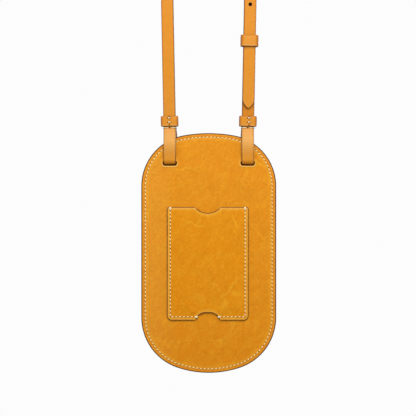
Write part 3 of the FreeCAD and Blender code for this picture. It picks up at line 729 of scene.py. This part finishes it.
def thread_bars(middles, along, facing, length, radius, rise):
    """Bars of thread: a ring carried over an arch that rises by one less the fourth power of its share
    along the bar, so that both ends dive under the surface. Gives the points, faces and twist places."""
    share = np.linspace(-1, 1, bar_rings)[:, None]
    angle = round_angles(bar_sides)[None] + math.pi
    wide = radius * np.sqrt(1 - share ** 8)
    reach = share * length / 2 + 0 * angle
    across = wide * np.sin(angle)
    lift = rise * (1 - bar_dive * share ** 4) + bar_flat * wide * np.cos(angle)
    outward = np.array((0.0, facing, 0.0))
    along = along / np.linalg.norm(along, axis=1)[:, None]
    sideways = np.cross(outward, along)
    points = (middles[:, None, None] + reach[..., None] * along[:, None, None]
              + across[..., None] * sideways[:, None, None] + lift[..., None] * outward)
    twist = np.stack([reach + length, angle / (2 * math.pi) + 0 * share], axis=-1).reshape(-1, 2)
    return points, grid_faces(bar_rings, bar_sides, len(middles)), np.tile(twist, (len(middles), 1))


def thread_cloth(name, cream):
    """Waxed linen: pale plies that wind round the thread, with painted shade in the grooves between them."""
    material, tree, shader, place = start_material(name, "UV")
    winding = put(tree, "Mapping", {"Vector": place, "Scale": ply_scale})
    plies = put(tree, "TexWave", {"Vector": winding.outputs[0], "Scale": ply_wave, "Distortion": ply_stray},
                bands_direction="DIAGONAL").outputs["Fac"]
    between = tuple(part * ply_groove_shade for part in cream)
    join(tree, shader, {"Base Color": mix(tree, plies, between, cream), "Roughness": 0.62,
                        "Specular IOR Level": 0.15, "Normal": bump(tree, plies, ply_strength, ply_depth)})
    return material


def make_thread(name, thread, cloth, body, *nodes):
    """Piece of thread from its points, faces and twist places, with its winding in a UV map."""
    points, faces, twist = thread
    piece = new_piece(name, points, faces.tolist())
    mesh = piece.data
    corners = np.empty(len(mesh.loops), np.int32)
    mesh.loops.foreach_get("vertex_index", corners)
    mesh.uv_layers.new(name="winding").data.foreach_set("uv", twist[corners].astype(np.float32).ravel())
    close_mesh(mesh, joined_thread)
    mesh.shade_smooth()
    fit(piece, cloth, "thread", body, *nodes)


def on_face(rows, y):
    """Places, or directions, of x and z put on a face at some depth."""
    return np.column_stack([rows[:, 0], np.full(len(rows), y), rows[:, 1]])


def seam_bars(rows, y, facing):
    """Slanting stitches along a seam in the panel's plane: each lies along the seam, turned by its slant."""
    along = on_face(np.column_stack([-rows[:, 3], rows[:, 2]]), 0.0) * math.cos(stitch_slant)
    along += on_face(rows[:, 2:], 0.0) * math.sin(stitch_slant) * facing
    return thread_bars(on_face(rows, y), along, facing, stitch_length, stitch_radius, stitch_rise)


def punched_holes(name, places, facing, radius, body, slot):
    """Plugs of painted shade in the holes between stitches: dark closed lenses, whose rim lies just under the
    leather.
    """
    angle = round_angles(hole_sides)
    ring = np.stack([np.cos(angle), 0 * angle, np.sin(angle)], axis=-1)
    reach, level = [share[:, None, None] * radius for share in (hole_reach, hole_level)]
    plugs = places[:, None, None] + reach * ring + level * np.array((0, facing, 0))
    faces = grid_faces(len(hole_reach), hole_sides, len(places))
    fit(make_piece(name, [(plugs, faces)]), hole_shade, slot, body)


hole_shade = leather("hole_shade", [(0, hole_dark), (0.001, hole_brown)], hole_pale,
                     shine=0.8, gloss=0.1, lively=0.5)
linen = thread_cloth("linen", (1.0, 0.86, 0.42))
pale_linen = thread_cloth("pale_linen", (1.0, 0.9, 0.62))
seam_line = pouch_outline(seam_step)
seam_line[:, :2] -= seam_inset * seam_line[:, 2:]
front_rows, front_holes = [even_places(seam_line, stitch_pitch, start=start) for start in (0.5, 0)]
back_rows, back_holes = [rows[pouch_inset(rows[:, 0], rows[:, 1], open_top=True) < flat_rim]
                         for rows in (front_rows, front_holes)]
for side, rows, holes, y, facing in (
        ("front", front_rows, front_holes, front_face + seam_depth, -1.0),
        ("back", back_rows, back_holes, lining_back + panel_thickness - seam_depth, 1.0)):
    make_thread(side + "_edge_stitching", seam_bars(rows, y, facing), linen, "pouch", side + "_edge_stitches")
    punched_holes(side + "_seam_holes", on_face(holes, y), facing, hole_radius, "pouch", "panel_leather")


# Pocket seam
# The same thread down both sides of the pocket and along its bottom to the push notch. The first stitch at
# each top corner and the last at the notch go over the edge and are doubled, so that they don't tear.
pocket_seam_y = front_face - pocket_thickness + pocket_groove
pocket_foot_inset, pocket_row_end = 0.0028, 0.0082
pocket_seam_z = pocket_bottom + pocket_foot_inset
doubled_length, doubled_radius, doubled_rise, doubled_half = 0.0026, 0.0004, 0.000576, 0.00037
pocket_rows, pocket_holes, doubled = [], [], []
for side in (-1, 1):
    corner_x, notch_x = pocket_x + side * (pocket_half - pocket_seam_inset), pocket_x + side * pocket_row_end
    side_row = np.array([(corner_x, pocket_top, side, 0), (corner_x, pocket_seam_z, side, 0)])
    foot_row = np.array([(corner_x, pocket_seam_z, 0, -1), (notch_x, pocket_seam_z, 0, -1)])
    for row in (side_row, foot_row):
        pocket_rows.append(even_places(row, stitch_pitch, closed=False))
        pocket_holes.append(even_places(row, stitch_pitch, closed=False, start=0)[1:])
    pocket_holes.append(side_row[1:])
    for shift in (-doubled_half, doubled_half):
        doubled.append((corner_x + shift, pocket_top - doubled_length / 3, 0, 1))
        doubled.append((notch_x + side * doubled_length / 3, pocket_seam_z + shift, 1, 0))
doubled = np.array(doubled)
over_edge = thread_bars(on_face(doubled, pocket_seam_y), on_face(doubled[:, 2:], 0.0), -1.0,
                        doubled_length, doubled_radius, doubled_rise)
pocket_bars = seam_bars(np.concatenate(pocket_rows), pocket_seam_y, -1.0)
make_thread("pocket_stitching", pocket_bars, linen, "pouch", "pocket_stitches")
make_thread("pocket_end_stitching", over_edge, pale_linen, "pouch", "pocket_stitches")
punched_holes("pocket_seam_holes", on_face(np.concatenate(pocket_holes), pocket_seam_y), -1.0, hole_radius,
              "pouch", "panel_leather")


# Strap ends and long strap
# One long strip of the same hide, creased along both edges. Its left end goes down the front, in through
# the slot, up inside the mouth and ends in the keeper; the other way it climbs, turns over the top with
# its width front to back, and comes down to the pointed end in front of the buckle strap.
strap_width, strap_thickness = loop_high.x - loop_low.x, 0.002
half_strap, half_layer = strap_width / 2, strap_thickness / 2
loop_y = (loop_low.y + loop_high.y) / 2
loop_radius = (loop_high.y - loop_low.y) / 2 - half_layer
turn_z = loop_low.z + loop_radius + half_layer
bend_bottom, bend_top = loop_high.z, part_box("right_strap_bend")[1].z
pivot_z = (bend_bottom + bend_top) / 2
lean = math.radians(1.1)
keeper_low, keeper_height, hidden_share = 0.0054, 0.0082, 0.7
tip_rise, tip_point, tip_least = 0.0197, 0.0076, 0.0001
tip_y = -strap_thickness
twist_rise = 0.1535
strap_step, turn_step, climb_step, over_step, drop_step, tip_step = 0.0012, 0.12, 0.004, 0.035, 0.003, 0.0004
bend_step = strap_step / 3
edge_points, crease_points, crown_points = 9, 5, 7
slip, slip_in_keeper = {-1: 0.0008, 1: -0.0005}, 0.5
edge_share, crease_share, crease_wide, crease_deep = 0.13, 0.775, 0.05, 0.3
crown_share, crown_high = 0.6, 0.03
crease_inset, crease_highlight, inner_edge_shade = 0.0011, 0.08, 0.0003
leg_bend_pale_and_highlight, leg_highlight_z, leg_highlight_run = 0.3, -0.268, 0.0105
pale_near_keeper, pale_near_keeper_z, pale_near_keeper_run = 0.05, -0.2495, 0.03
covered_shade_inset = 0.00069
leg_reach, leg_ease, leg_curl = 0.0036, 0.45, 0.42
hole_rises, hole_half, hole_floor, hole_spare = (0.1025, 0.1245, 0.1465), 0.00145, 0.0002, 0.0001
drawn_hole, drawn_up, drawn_down, punch_sides = 1, 0.00135, 0.0035, 24
strap_tan, strap_crease_highlight, strap_pale = (0.645, 0.227, 0.002), (0.71, 0.28, 0.012), (0.8, 0.37, 0.03)
strap_edge = (0.46, 0.125, 0.005)


def on_leg(side, points):
    """Carries points from a leg's own frame, upright on its bend, to the leaning leg on that side."""
    x, y, z = np.asarray(points, float).T
    return np.column_stack([side * strap_x + x * math.cos(lean) + side * z * math.sin(lean), y,
                            pivot_z - side * x * math.sin(lean) + z * math.cos(lean)])


def leg_line(side, y, z):
    """Line along the middle of a leg, from depths and heights in the leg's frame."""
    return on_leg(side, np.column_stack([0 * z, y + 0 * z, z]))


def leg_height(rise):
    """Height in a leg's frame of a place counted up from the pouch's top edge."""
    return pouch_top + rise - pivot_z


def steps(start, end, step):
    """Evenly spaced values from start to just before end."""
    count = max(2, round(abs(end - start) / step))
    return start + (end - start) * np.arange(count) / count


def strap_end(side):
    """Middle line from the hidden end behind the leg, down, round the turn and up to the bend's top:
    straight runs, a half circle about the slot, and a gentle step over the lip behind it. The hidden layer
    lies a little askew. The front one leans out by one less a falling exponential, and curls in at the
    slot."""
    top, bottom, turn = bend_top - pivot_z, bend_bottom - pivot_z, turn_z - pivot_z
    down = steps(leg_height(keeper_low + hidden_share * keeper_height), top, strap_step)
    behind = steps(top, bottom, bend_step)
    inside = steps(bottom, turn, strap_step)
    angle = steps(0, math.pi, turn_step)
    front = np.concatenate([steps(turn, bottom, strap_step), steps(bottom, top, bend_step)])
    down_leg = (top - front) / (top - turn)
    out = leg_reach * (1 - np.exp(-down_leg / leg_ease))
    curl = leg_reach * (1 - math.exp(-1 / leg_ease)) - (loop_radius - half_layer)
    over_lip = smooth_step((top - behind) / (top - bottom))
    z = np.concatenate([down, behind, inside, turn - loop_radius * np.sin(angle), front])
    y = loop_y + np.concatenate([
        np.full(len(down), half_layer),
        half_layer + (loop_radius - half_layer) * over_lip,
        np.full(len(inside), loop_radius),
        loop_radius * np.cos(angle),
        curl * smooth_step((down_leg - leg_curl) / (1 - leg_curl)) - half_layer - out])
    x = slip[side] * np.concatenate([
        np.full(len(down), slip_in_keeper),
        1 + (slip_in_keeper - 1) * smooth_step((behind - bottom) / (top - bottom)),
        smooth_step((inside - turn) / (bottom - turn)),
        np.zeros(len(angle) + len(front))])
    upright = np.column_stack([x, y, z])
    share = smooth_step((z - bottom) / (top - bottom))[:, None]
    hanging = upright + (side * strap_x, 0, pivot_z)
    return hanging * (1 - share) + on_leg(side, upright) * share


def strap_section():
    """Section across the strap, as shares of its half width and half thickness: round edges, and on the
    grain side a crease near each edge and a slight crown."""
    angle = np.linspace(-quarter, quarter, edge_points)
    edge = np.column_stack([1 - edge_share * (1 - np.cos(angle)), np.sin(angle)])
    share = np.linspace(-1, 1, crease_points)
    pressed = crease_deep * np.cos(share * quarter) ** 2
    crease = np.column_stack([crease_share - crease_wide * share, 1 - pressed])
    share = np.linspace(-1, 1, crown_points)
    crown = np.column_stack([-crown_share * share, 1 + crown_high * np.cos(share * quarter)])
    return np.concatenate([edge, crease, crown, crease[::-1] * (-1, 1), edge[::-1] * (-1, 1)])


def make_strap(name, line, width_way, inner, half=half_strap, covered=False):
    """Closed strap: its section carried along a line, with its width along width_way and its grain side
    facing width_way crossed with the line's own way. half gives the half width along the line.

    The distance from the edge is stored for the leather. Painted shade runs from the inner edge, on the side
    of the section that inner gives, a little further on to the face. Leather that another strap covers takes
    painted shade and no paling. On the front, the rest is paler near the slot, by a painted highlight with
    some paling where the leather bends, and paler near the keeper, by bell curves. Each crease takes a
    painted highlight.
    """
    way = np.gradient(line, axis=0)
    way /= np.linalg.norm(way, axis=1)[:, None]
    across = width_way - way * np.sum(width_way * way, axis=1)[:, None]
    across /= np.linalg.norm(across, axis=1)[:, None]
    grain = np.cross(across, way)
    section = strap_section()
    half, covered = np.broadcast_to(half, len(line)), np.broadcast_to(covered, len(line))
    points = (line[:, None] + section[None, :, :1] * half[:, None, None] * across[:, None]
              + section[None, :, 1:] * half_layer * grain[:, None])
    caps = np.arange(len(section)) + np.array([[0], [(len(line) - 1) * len(section)]])
    piece = new_piece(name, points, grid_faces(len(line), len(section)).tolist() + caps.tolist())
    inset = half[:, None] * (1 - np.abs(section[None, :, 0]))
    # Painted shade along the inner edge.
    inner_shaded = inner_edge_shade * np.clip(1 - inset / crease_inset, 0, 1) * (section[:, 0] * inner > 0)
    # Where another strap covers it, the leather is held darker: painted shade.
    mark(piece, "inset", np.clip(inset - inner_shaded, 0, np.where(covered, covered_shade_inset, half_strap)[:, None]))
    # On the front legs: a painted highlight below the lip, with some paling where the leather bends.
    paler = np.maximum(leg_bend_pale_and_highlight * bell(line[:, 2], leg_highlight_z, leg_highlight_run),
                       pale_near_keeper * bell(line[:, 2], pale_near_keeper_z, pale_near_keeper_run))
    paler = paler * (line[:, 1] < loop_y) * ~covered
    mark(piece, "wear_and_highlight", crease_highlight * bell(inset, crease_inset, highlight_half) + paler[:, None])
    close_mesh(piece.data, joined_thread)
    return piece


def punch(piece, tools):
    """Cuts closed tools out of a piece for good, and clears the tools away."""
    for tool in tools:
        cutter = make_piece("punch", [tool])
        cut = piece.modifiers.new("punch", "BOOLEAN")
        cut.object = cutter
        cut.solver = "EXACT"
        cut.use_hole_tolerant = True
        bpy.context.view_layer.update()
        shaped = bpy.data.meshes.new_from_object(piece.evaluated_get(bpy.context.evaluated_depsgraph_get()))
        piece.modifiers.clear()
        piece.data = shaped
        bpy.data.objects.remove(cutter)
    smooth_piece(piece)


def punch_tool(side, outline, y0, y1):
    """Prism of an outline of x and z in a leg's frame, from y0 to y1, closed at the middle of both ends."""
    middle = outline.mean(axis=0) + 0 * outline
    rings = [on_face(ring, y) for ring, y in ((middle, y0), (outline, y0), (outline, y1), (middle, y1))]
    return on_leg(side, np.concatenate(rings)), grid_faces(len(rings), len(outline))


def leg_ways(side, turned):
    """Width directions on a leg, turned about its axis by some angles: forward from the left to the right."""
    flat = np.column_stack([np.cos(turned), np.sin(turned), 0 * turned])
    return on_leg(side, flat) - on_leg(side, np.zeros((1, 3)))


def fit_strap(piece, *nodes):
    """Gives a strap its leather and bakes its place into its mesh, in place of some nodes."""
    piece.data.materials.append(strap_leather)
    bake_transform(piece)
    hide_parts(*nodes)


# This ramp paints a highlight just inside each crease of the strap.
strap_leather = leather("strap_leather", [
    (0, burnt_edge), (0.00018, burnt_edge), (0.0004, strap_edge), (0.0008, strap_tan),
    (0.0012, strap_crease_highlight), (0.0017, strap_tan), (0.004, strap_tan)],
    strap_pale, shine=0.36, gloss=0.21, lively=0.35)
top_radius = (math.cos(lean) * strap_x + math.sin(lean) * (half_layer - pivot_z)) / (1 + math.sin(lean))
top_z = half_layer - top_radius
twist_low = leg_height(twist_rise)
twist_high = (top_z - top_radius * math.sin(lean) - pivot_z) / math.cos(lean)
left_end = strap_end(-1)
climb = steps(bend_top - pivot_z, twist_low, climb_step)
twist = steps(twist_low, twist_high, strap_step)
eased = (1 - np.cos(math.pi * (twist - twist_low) / (twist_high - twist_low))) / 2
over = steps(math.pi + lean, -lean, over_step)
tip_z, point_z = leg_height(tip_rise), leg_height(tip_rise + tip_point)
drop = np.concatenate([steps(twist_low, point_z, drop_step), steps(point_z, tip_z, tip_step), [tip_z]])
long_line = np.concatenate([
    left_end, leg_line(-1, 0, climb), leg_line(-1, 0, twist),
    np.column_stack([top_radius * np.cos(over), 0 * over, top_z + top_radius * np.sin(over)]),
    leg_line(1, tip_y * (1 - eased), twist)[::-1], leg_line(1, tip_y, drop)])
long_ways = np.concatenate([
    leg_ways(-1, np.zeros(len(left_end) + len(climb))), leg_ways(-1, -quarter * eased),
    np.tile((0.0, -1.0, 0.0), (len(over), 1)),
    leg_ways(1, 2 * quarter + quarter * eased)[::-1], leg_ways(1, np.full(len(drop), 2 * quarter))])
bow = (tip_point ** 2 + half_strap ** 2) / strap_width
to_tip = np.clip(tip_point - (drop - tip_z), 0, tip_point)
long_half = np.full(len(long_line), half_strap)
long_half[-len(drop):] = np.maximum(half_strap - bow + np.sqrt(bow ** 2 - to_tip ** 2), tip_least)
long_strap = make_strap("long_strap_leather", long_line, long_ways, 1, long_half)
angle = round_angles(punch_sides)
tools = []
for number, rise in enumerate(hole_rises):
    drawn = np.where(np.sin(angle) > 0, drawn_up, -drawn_down) * (number == drawn_hole)
    ring = np.column_stack([hole_half * np.cos(angle), hole_half * np.sin(angle) + leg_height(rise) + drawn])
    tools.append(punch_tool(1, ring, tip_y - strap_thickness, tip_y + strap_thickness))
punch(long_strap, tools)
fit_strap(long_strap, "long_strap", "left_strap_loop", "left_strap_bend")
hole_place = on_leg(1, [(0, tip_y + half_layer - hole_floor, leg_height(hole_rises[0]))])
punched_holes("strap_hole_shade", hole_place, -1.0, hole_half + hole_spare, "strap", "strap_leather")


# Buckle strap
# The short right-hand strap: looped through the right slot like the left end, it climbs behind the
# pointed end, folds over the buckle's bar and is sewn to itself behind.
wire_room = 0.00125
fold_radius = bar_y = half_layer + wire_room
prong_turn = frame["record"]["behaviour"]["joints"][2]
bar_height = (prong_turn["pos_m"][2] - pivot_z) / math.cos(lean)
fold_taper, fold_length = 0.006, 0.015
rise_step, fold_step, slope_step, tail_step = 0.003, 0.15, 0.0006, 0.002
tail_y = strap_thickness
prong_gap, gap_below, gap_above, gap_deep = 0.0016, 0.0027, 0.006, 0.006
right_end = strap_end(1)
rise = steps(bend_top - pivot_z, bar_height, rise_step)
fold = steps(math.pi, 0, fold_step)
slope = steps(bar_height, bar_height - fold_taper, slope_step)
tail_end = bar_height - fold_length
tail = np.append(steps(bar_height - fold_taper, tail_end, tail_step), tail_end)
sloped = bar_y + fold_radius + (tail_y - bar_y - fold_radius) * smooth_step((bar_height - slope) / fold_taper)
upper_y = np.concatenate([0 * rise, bar_y + fold_radius * np.cos(fold), sloped, np.full(len(tail), tail_y)])
upper_z = np.concatenate([rise, bar_height + fold_radius * np.sin(fold), slope, tail])
buckle_line = np.concatenate([right_end, leg_line(1, upper_y, upper_z)])
# The buckle strap behind the pointed end takes painted shade.
behind_tip = np.append(np.zeros(len(right_end), bool), upper_z > leg_height(keeper_low + keeper_height / 2))
buckle_strap = make_strap("buckle_strap_leather", buckle_line, leg_ways(1, np.zeros(len(buckle_line))), -1,
                          covered=behind_tip)
gap = np.array([(prong_gap, -gap_below), (prong_gap, gap_above),
                (-prong_gap, gap_above), (-prong_gap, -gap_below)]) + (0, bar_height)
punch(buckle_strap, [punch_tool(1, gap, bar_y - gap_deep, bar_y + gap_deep)])
fit_strap(buckle_strap, "buckle_strap", "right_strap_loop", "right_strap_bend")


# Sewn keepers
# Bands of the same strap leather round both doubled strap ends. Their ends meet in a butt seam at the front,
# which two stitches hold closed, and a line is pressed along both rims.
band_edge, band_wall, section_step, band_step = 0.0005, 0.0016, 0.0002, 0.0003
press_inset, press_half, press_depth = 0.0011, 0.00022, 0.00013
side_shade, side_shade_run = 0.0003, 0.0028
rim_scale, top_rim_light = 2.0, 0.0005
low_rim_highlight_inset, low_rim_highlight_half, low_rim_highlight = 0.0008, 0.0004, 0.3
keeper_tan, keeper_side_shade = (0.655, 0.236, 0.004), (0.55, 0.18, 0.004)
keeper_half, keeper_deep, keeper_corner = 0.00705, 0.00365, 0.0023
seam_dent, seam_line_half, seam_flare, flare_run, flat_side = 0.0006, 0.00016, 0.0006, 0.0007, 0.9
keeper_seam, keeper_shares = {-1: -0.0002, 1: 0.0009}, (0.39, 0.79)
keeper_stitch, keeper_stitch_radius, keeper_hole, keeper_hole_ends = 0.0025, 0.00046, 0.00057, (-1.1, 0.95)


def make_band(name, side, low, height, half, front, back, corner, seam_x, facing):
    """Band round a leg, in the leg's frame: its section, a rounded rectangle pressed in by a bell curve near
    both rims, is carried round a rounded box. Its ends meet at seam_x on the side that faces that way, in a
    groove with the section of a bell curve that widens towards the rims."""
    section = rounded_box(height / 2, 0, band_wall, height / 2, band_edge, section_step)
    rise, depth = section[:, 0], section[:, 1:2]
    rim = np.minimum(rise, height - rise)
    path = rounded_box(0, front, back, half, corner, band_step)
    wide = seam_line_half + seam_flare * np.exp(-rim / flare_run)
    dent = seam_dent * bell(path[:, 0], seam_x, wide[:, None]) * (path[:, 3] * facing > flat_side)
    pressed = press_depth * bell(rim, press_inset, press_half)
    depth = depth + (1 - depth / band_wall) * (pressed[:, None] + dent)
    across = path[:, 0] - depth * path[:, 2]
    along = path[:, 1] - depth * path[:, 3]
    points = np.stack([across, along, np.broadcast_to(low + rise[:, None], across.shape)], axis=-1)
    rows, columns = across.shape
    quads = grid_faces(rows + 1, columns) % (rows * columns)
    piece = make_piece(name, [(on_leg(side, points.reshape(-1, 3)), quads)])
    # Painted shade darkens the band's rounded sides, and painted light keeps its top rim paler than its
    # bottom one.
    bent = side_shade + side_shade_run * (1 - np.abs(path[:, 2])) ** 2
    edge = np.minimum(rim_scale * rise, rim_scale * (height - rise) + top_rim_light)
    mark(piece, "inset", np.where(depth > band_edge / 2, 0, np.minimum(edge[:, None], bent)))
    # Painted highlight along the lower rim, on the faces that look forward.
    lit_rim = low_rim_highlight * bell(rise, low_rim_highlight_inset, low_rim_highlight_half)
    mark(piece, "wear_and_highlight", lit_rim[:, None] * (1 - np.abs(path[:, 2])) * (depth < band_edge / 2))
    return piece


def leg_bars(side, places, facing, length, radius):
    """Stitches across a leg: bars at places in its frame that lie along its width."""
    along = np.repeat(leg_ways(side, np.zeros(1)), len(places), axis=0)
    return thread_bars(on_leg(side, places), along, facing, length, radius, stitch_rise)


# The side stop of this ramp is painted shade on the bands' rounded sides.
keeper_leather = leather("keeper_leather", [
    (0, burnt_edge), (0.00018, burnt_edge), (0.0004, strap_edge), (0.001, keeper_side_shade),
    (0.0024, keeper_tan), (0.004, keeper_tan)], strap_pale, shine=0.36, gloss=0.3, lively=0.35)
keeper_front, keeper_back = loop_y - keeper_deep, loop_y + keeper_deep
for side, word in ((-1, "left"), (1, "right")):
    seam_x = keeper_seam[side]
    keeper = make_band(word + "_keeper_leather", side, leg_height(keeper_low), keeper_height,
                       keeper_half, keeper_front, keeper_back, keeper_corner, seam_x, -1)
    fit(keeper, keeper_leather, "strap_leather", "strap", word + "_keeper")
    heights = [leg_height(keeper_low + share * keeper_height) for share in keeper_shares]
    bars = leg_bars(side, [(seam_x, keeper_front, height) for height in heights], -1.0,
                    keeper_stitch, keeper_stitch_radius)
    make_thread(word + "_keeper_stitching", bars, pale_linen, "strap", word + "_keeper_stitches")
    ends = [(seam_x + end * keeper_stitch / 2, keeper_front, height)
            for height in heights for end in keeper_hole_ends]
    punched_holes(word + "_keeper_holes", on_leg(side, ends), -1.0, keeper_hole, "strap", "strap_leather")


# Binding threads
# One turn of doubled linen round each folded strap end, right under its keeper. Both ends of the thread
# dive into the leather at the middle of the front, with a small gap between them.
binding_rise, binding_radius, binding_step, binding_sides = 0.0042, 0.00034, 0.0004, 8
binding_half, binding_deep, binding_corner = half_strap + 0.00035, strap_thickness + 0.00025, 0.0011
binding_gap, binding_sink = 0.0008, 0.0009


def bound_thread(side, height):
    """Thread round a doubled strap: a ring carried round a rounded box that is open at the front, where both
    ends sink by a smooth step over the last of their run and close to a point."""
    path = rounded_box(0, loop_y - binding_deep, loop_y + binding_deep, binding_half, binding_corner,
                       binding_step)
    path = np.roll(path, -np.argmin(np.abs(path[:, 0]) + (path[:, 1] > loop_y)), axis=0)
    path = path[(np.abs(path[:, 0]) > binding_gap) | (path[:, 1] > loop_y)]
    sink = binding_sink * smooth_step(2 - np.abs(path[:, :1]) / binding_gap) * (path[:, 1:2] <= loop_y)
    thin = np.pad(np.ones(len(path) - 2), 1)[:, None] * binding_radius
    angle = round_angles(binding_sides)[None]
    out = thin * np.cos(angle) - sink
    points = np.stack([path[:, :1] + out * path[:, 2:3], path[:, 1:2] + out * path[:, 3:],
                       height + thin * np.sin(angle)], axis=-1)
    run = length_along(path)[:, None]
    twist = np.stack([run + 0 * angle, angle / (2 * math.pi) + 0 * run], axis=-1).reshape(-1, 2)
    return on_leg(side, points.reshape(-1, 3)), grid_faces(len(path), binding_sides), twist


for side, word in ((-1, "left"), (1, "right")):
    thread = bound_thread(side, leg_height(binding_rise))
    make_thread(word + "_binding_thread", thread, pale_linen, "strap", word + "_binding")
    hole_place = on_leg(side, [(0, loop_y - strap_thickness, leg_height(binding_rise))])
    punched_holes(word + "_binding_hole", hole_place, -1.0, binding_gap, "strap", "strap_leather")


# Sliding keeper
# A loose band, a little wider than the sewn ones, that holds the pointed end down on the right leg. Its
# ends meet behind.
slider_low, slider_height = 0.069, 0.0091
slider_half, slider_front, slider_back, slider_corner = 0.0072, -0.0049, 0.0029, 0.003
slider = make_band("sliding_keeper_leather", 1, leg_height(slider_low), slider_height,
                   slider_half, slider_front, slider_back, slider_corner, 0, 1)
fit(slider, keeper_leather, "strap_leather", "keeper", "sliding_keeper")


# Buckle
# A bent wire frame and its tongue in satin brass, brushed along and a little worn. Two stitches behind close
# the strap's fold under the bar.
fold_shares, fold_stitch, fold_stitch_radius = (0.2, 0.45), 0.0034, 0.0004
gold_dark, gold_light, gold_dull = (0.66, 0.46, 0.17), (0.86, 0.67, 0.33), (0.42, 0.27, 0.09)
brush_long, brush_noise, brush_strength, brush_depth = 0.12, (2600.0, 4.0), 0.12, 0.00005
tarnish_noise, tarnish_range, tarnish_share, gold_rough = (240.0, 5.0), (0.5, 0.75), 0.4, (0.2, 0.42)


def satin_brass(name):
    """Brushed brass: two golds in fine streaks, darker in slow tarnish, with their gloss and bump."""
    material, tree, shader, place = start_material(name)
    brushed = put(tree, "Mapping", {"Vector": place, "Scale": (1.0, 1.0, brush_long)}).outputs[0]
    streaks, tarnish = noise(tree, brushed, *brush_noise), noise(tree, place, *tarnish_noise)
    dull = spread(tree, tarnish, *tarnish_range, 0.0, tarnish_share)
    join(tree, shader, {
        "Base Color": mix(tree, dull, mix(tree, streaks, gold_dark, gold_light), gold_dull), "Metallic": 1.0,
        "Roughness": spread(tree, tarnish, 0, 1, *gold_rough),
        "Normal": bump(tree, streaks, brush_strength, brush_depth)})
    return material


fold_places = [(0, tail_y + half_layer, bar_height - fold_length * (1 - share)) for share in fold_shares]
bars = leg_bars(1, fold_places, 1.0, fold_stitch, fold_stitch_radius)
make_thread("buckle_stitching", bars, pale_linen, "strap", "buckle_stitches")
brass = satin_brass("satin_brass")
for node in ("buckle_frame", "buckle_prong"):
    frame["nodes"][node].material_slots[0].material = brass
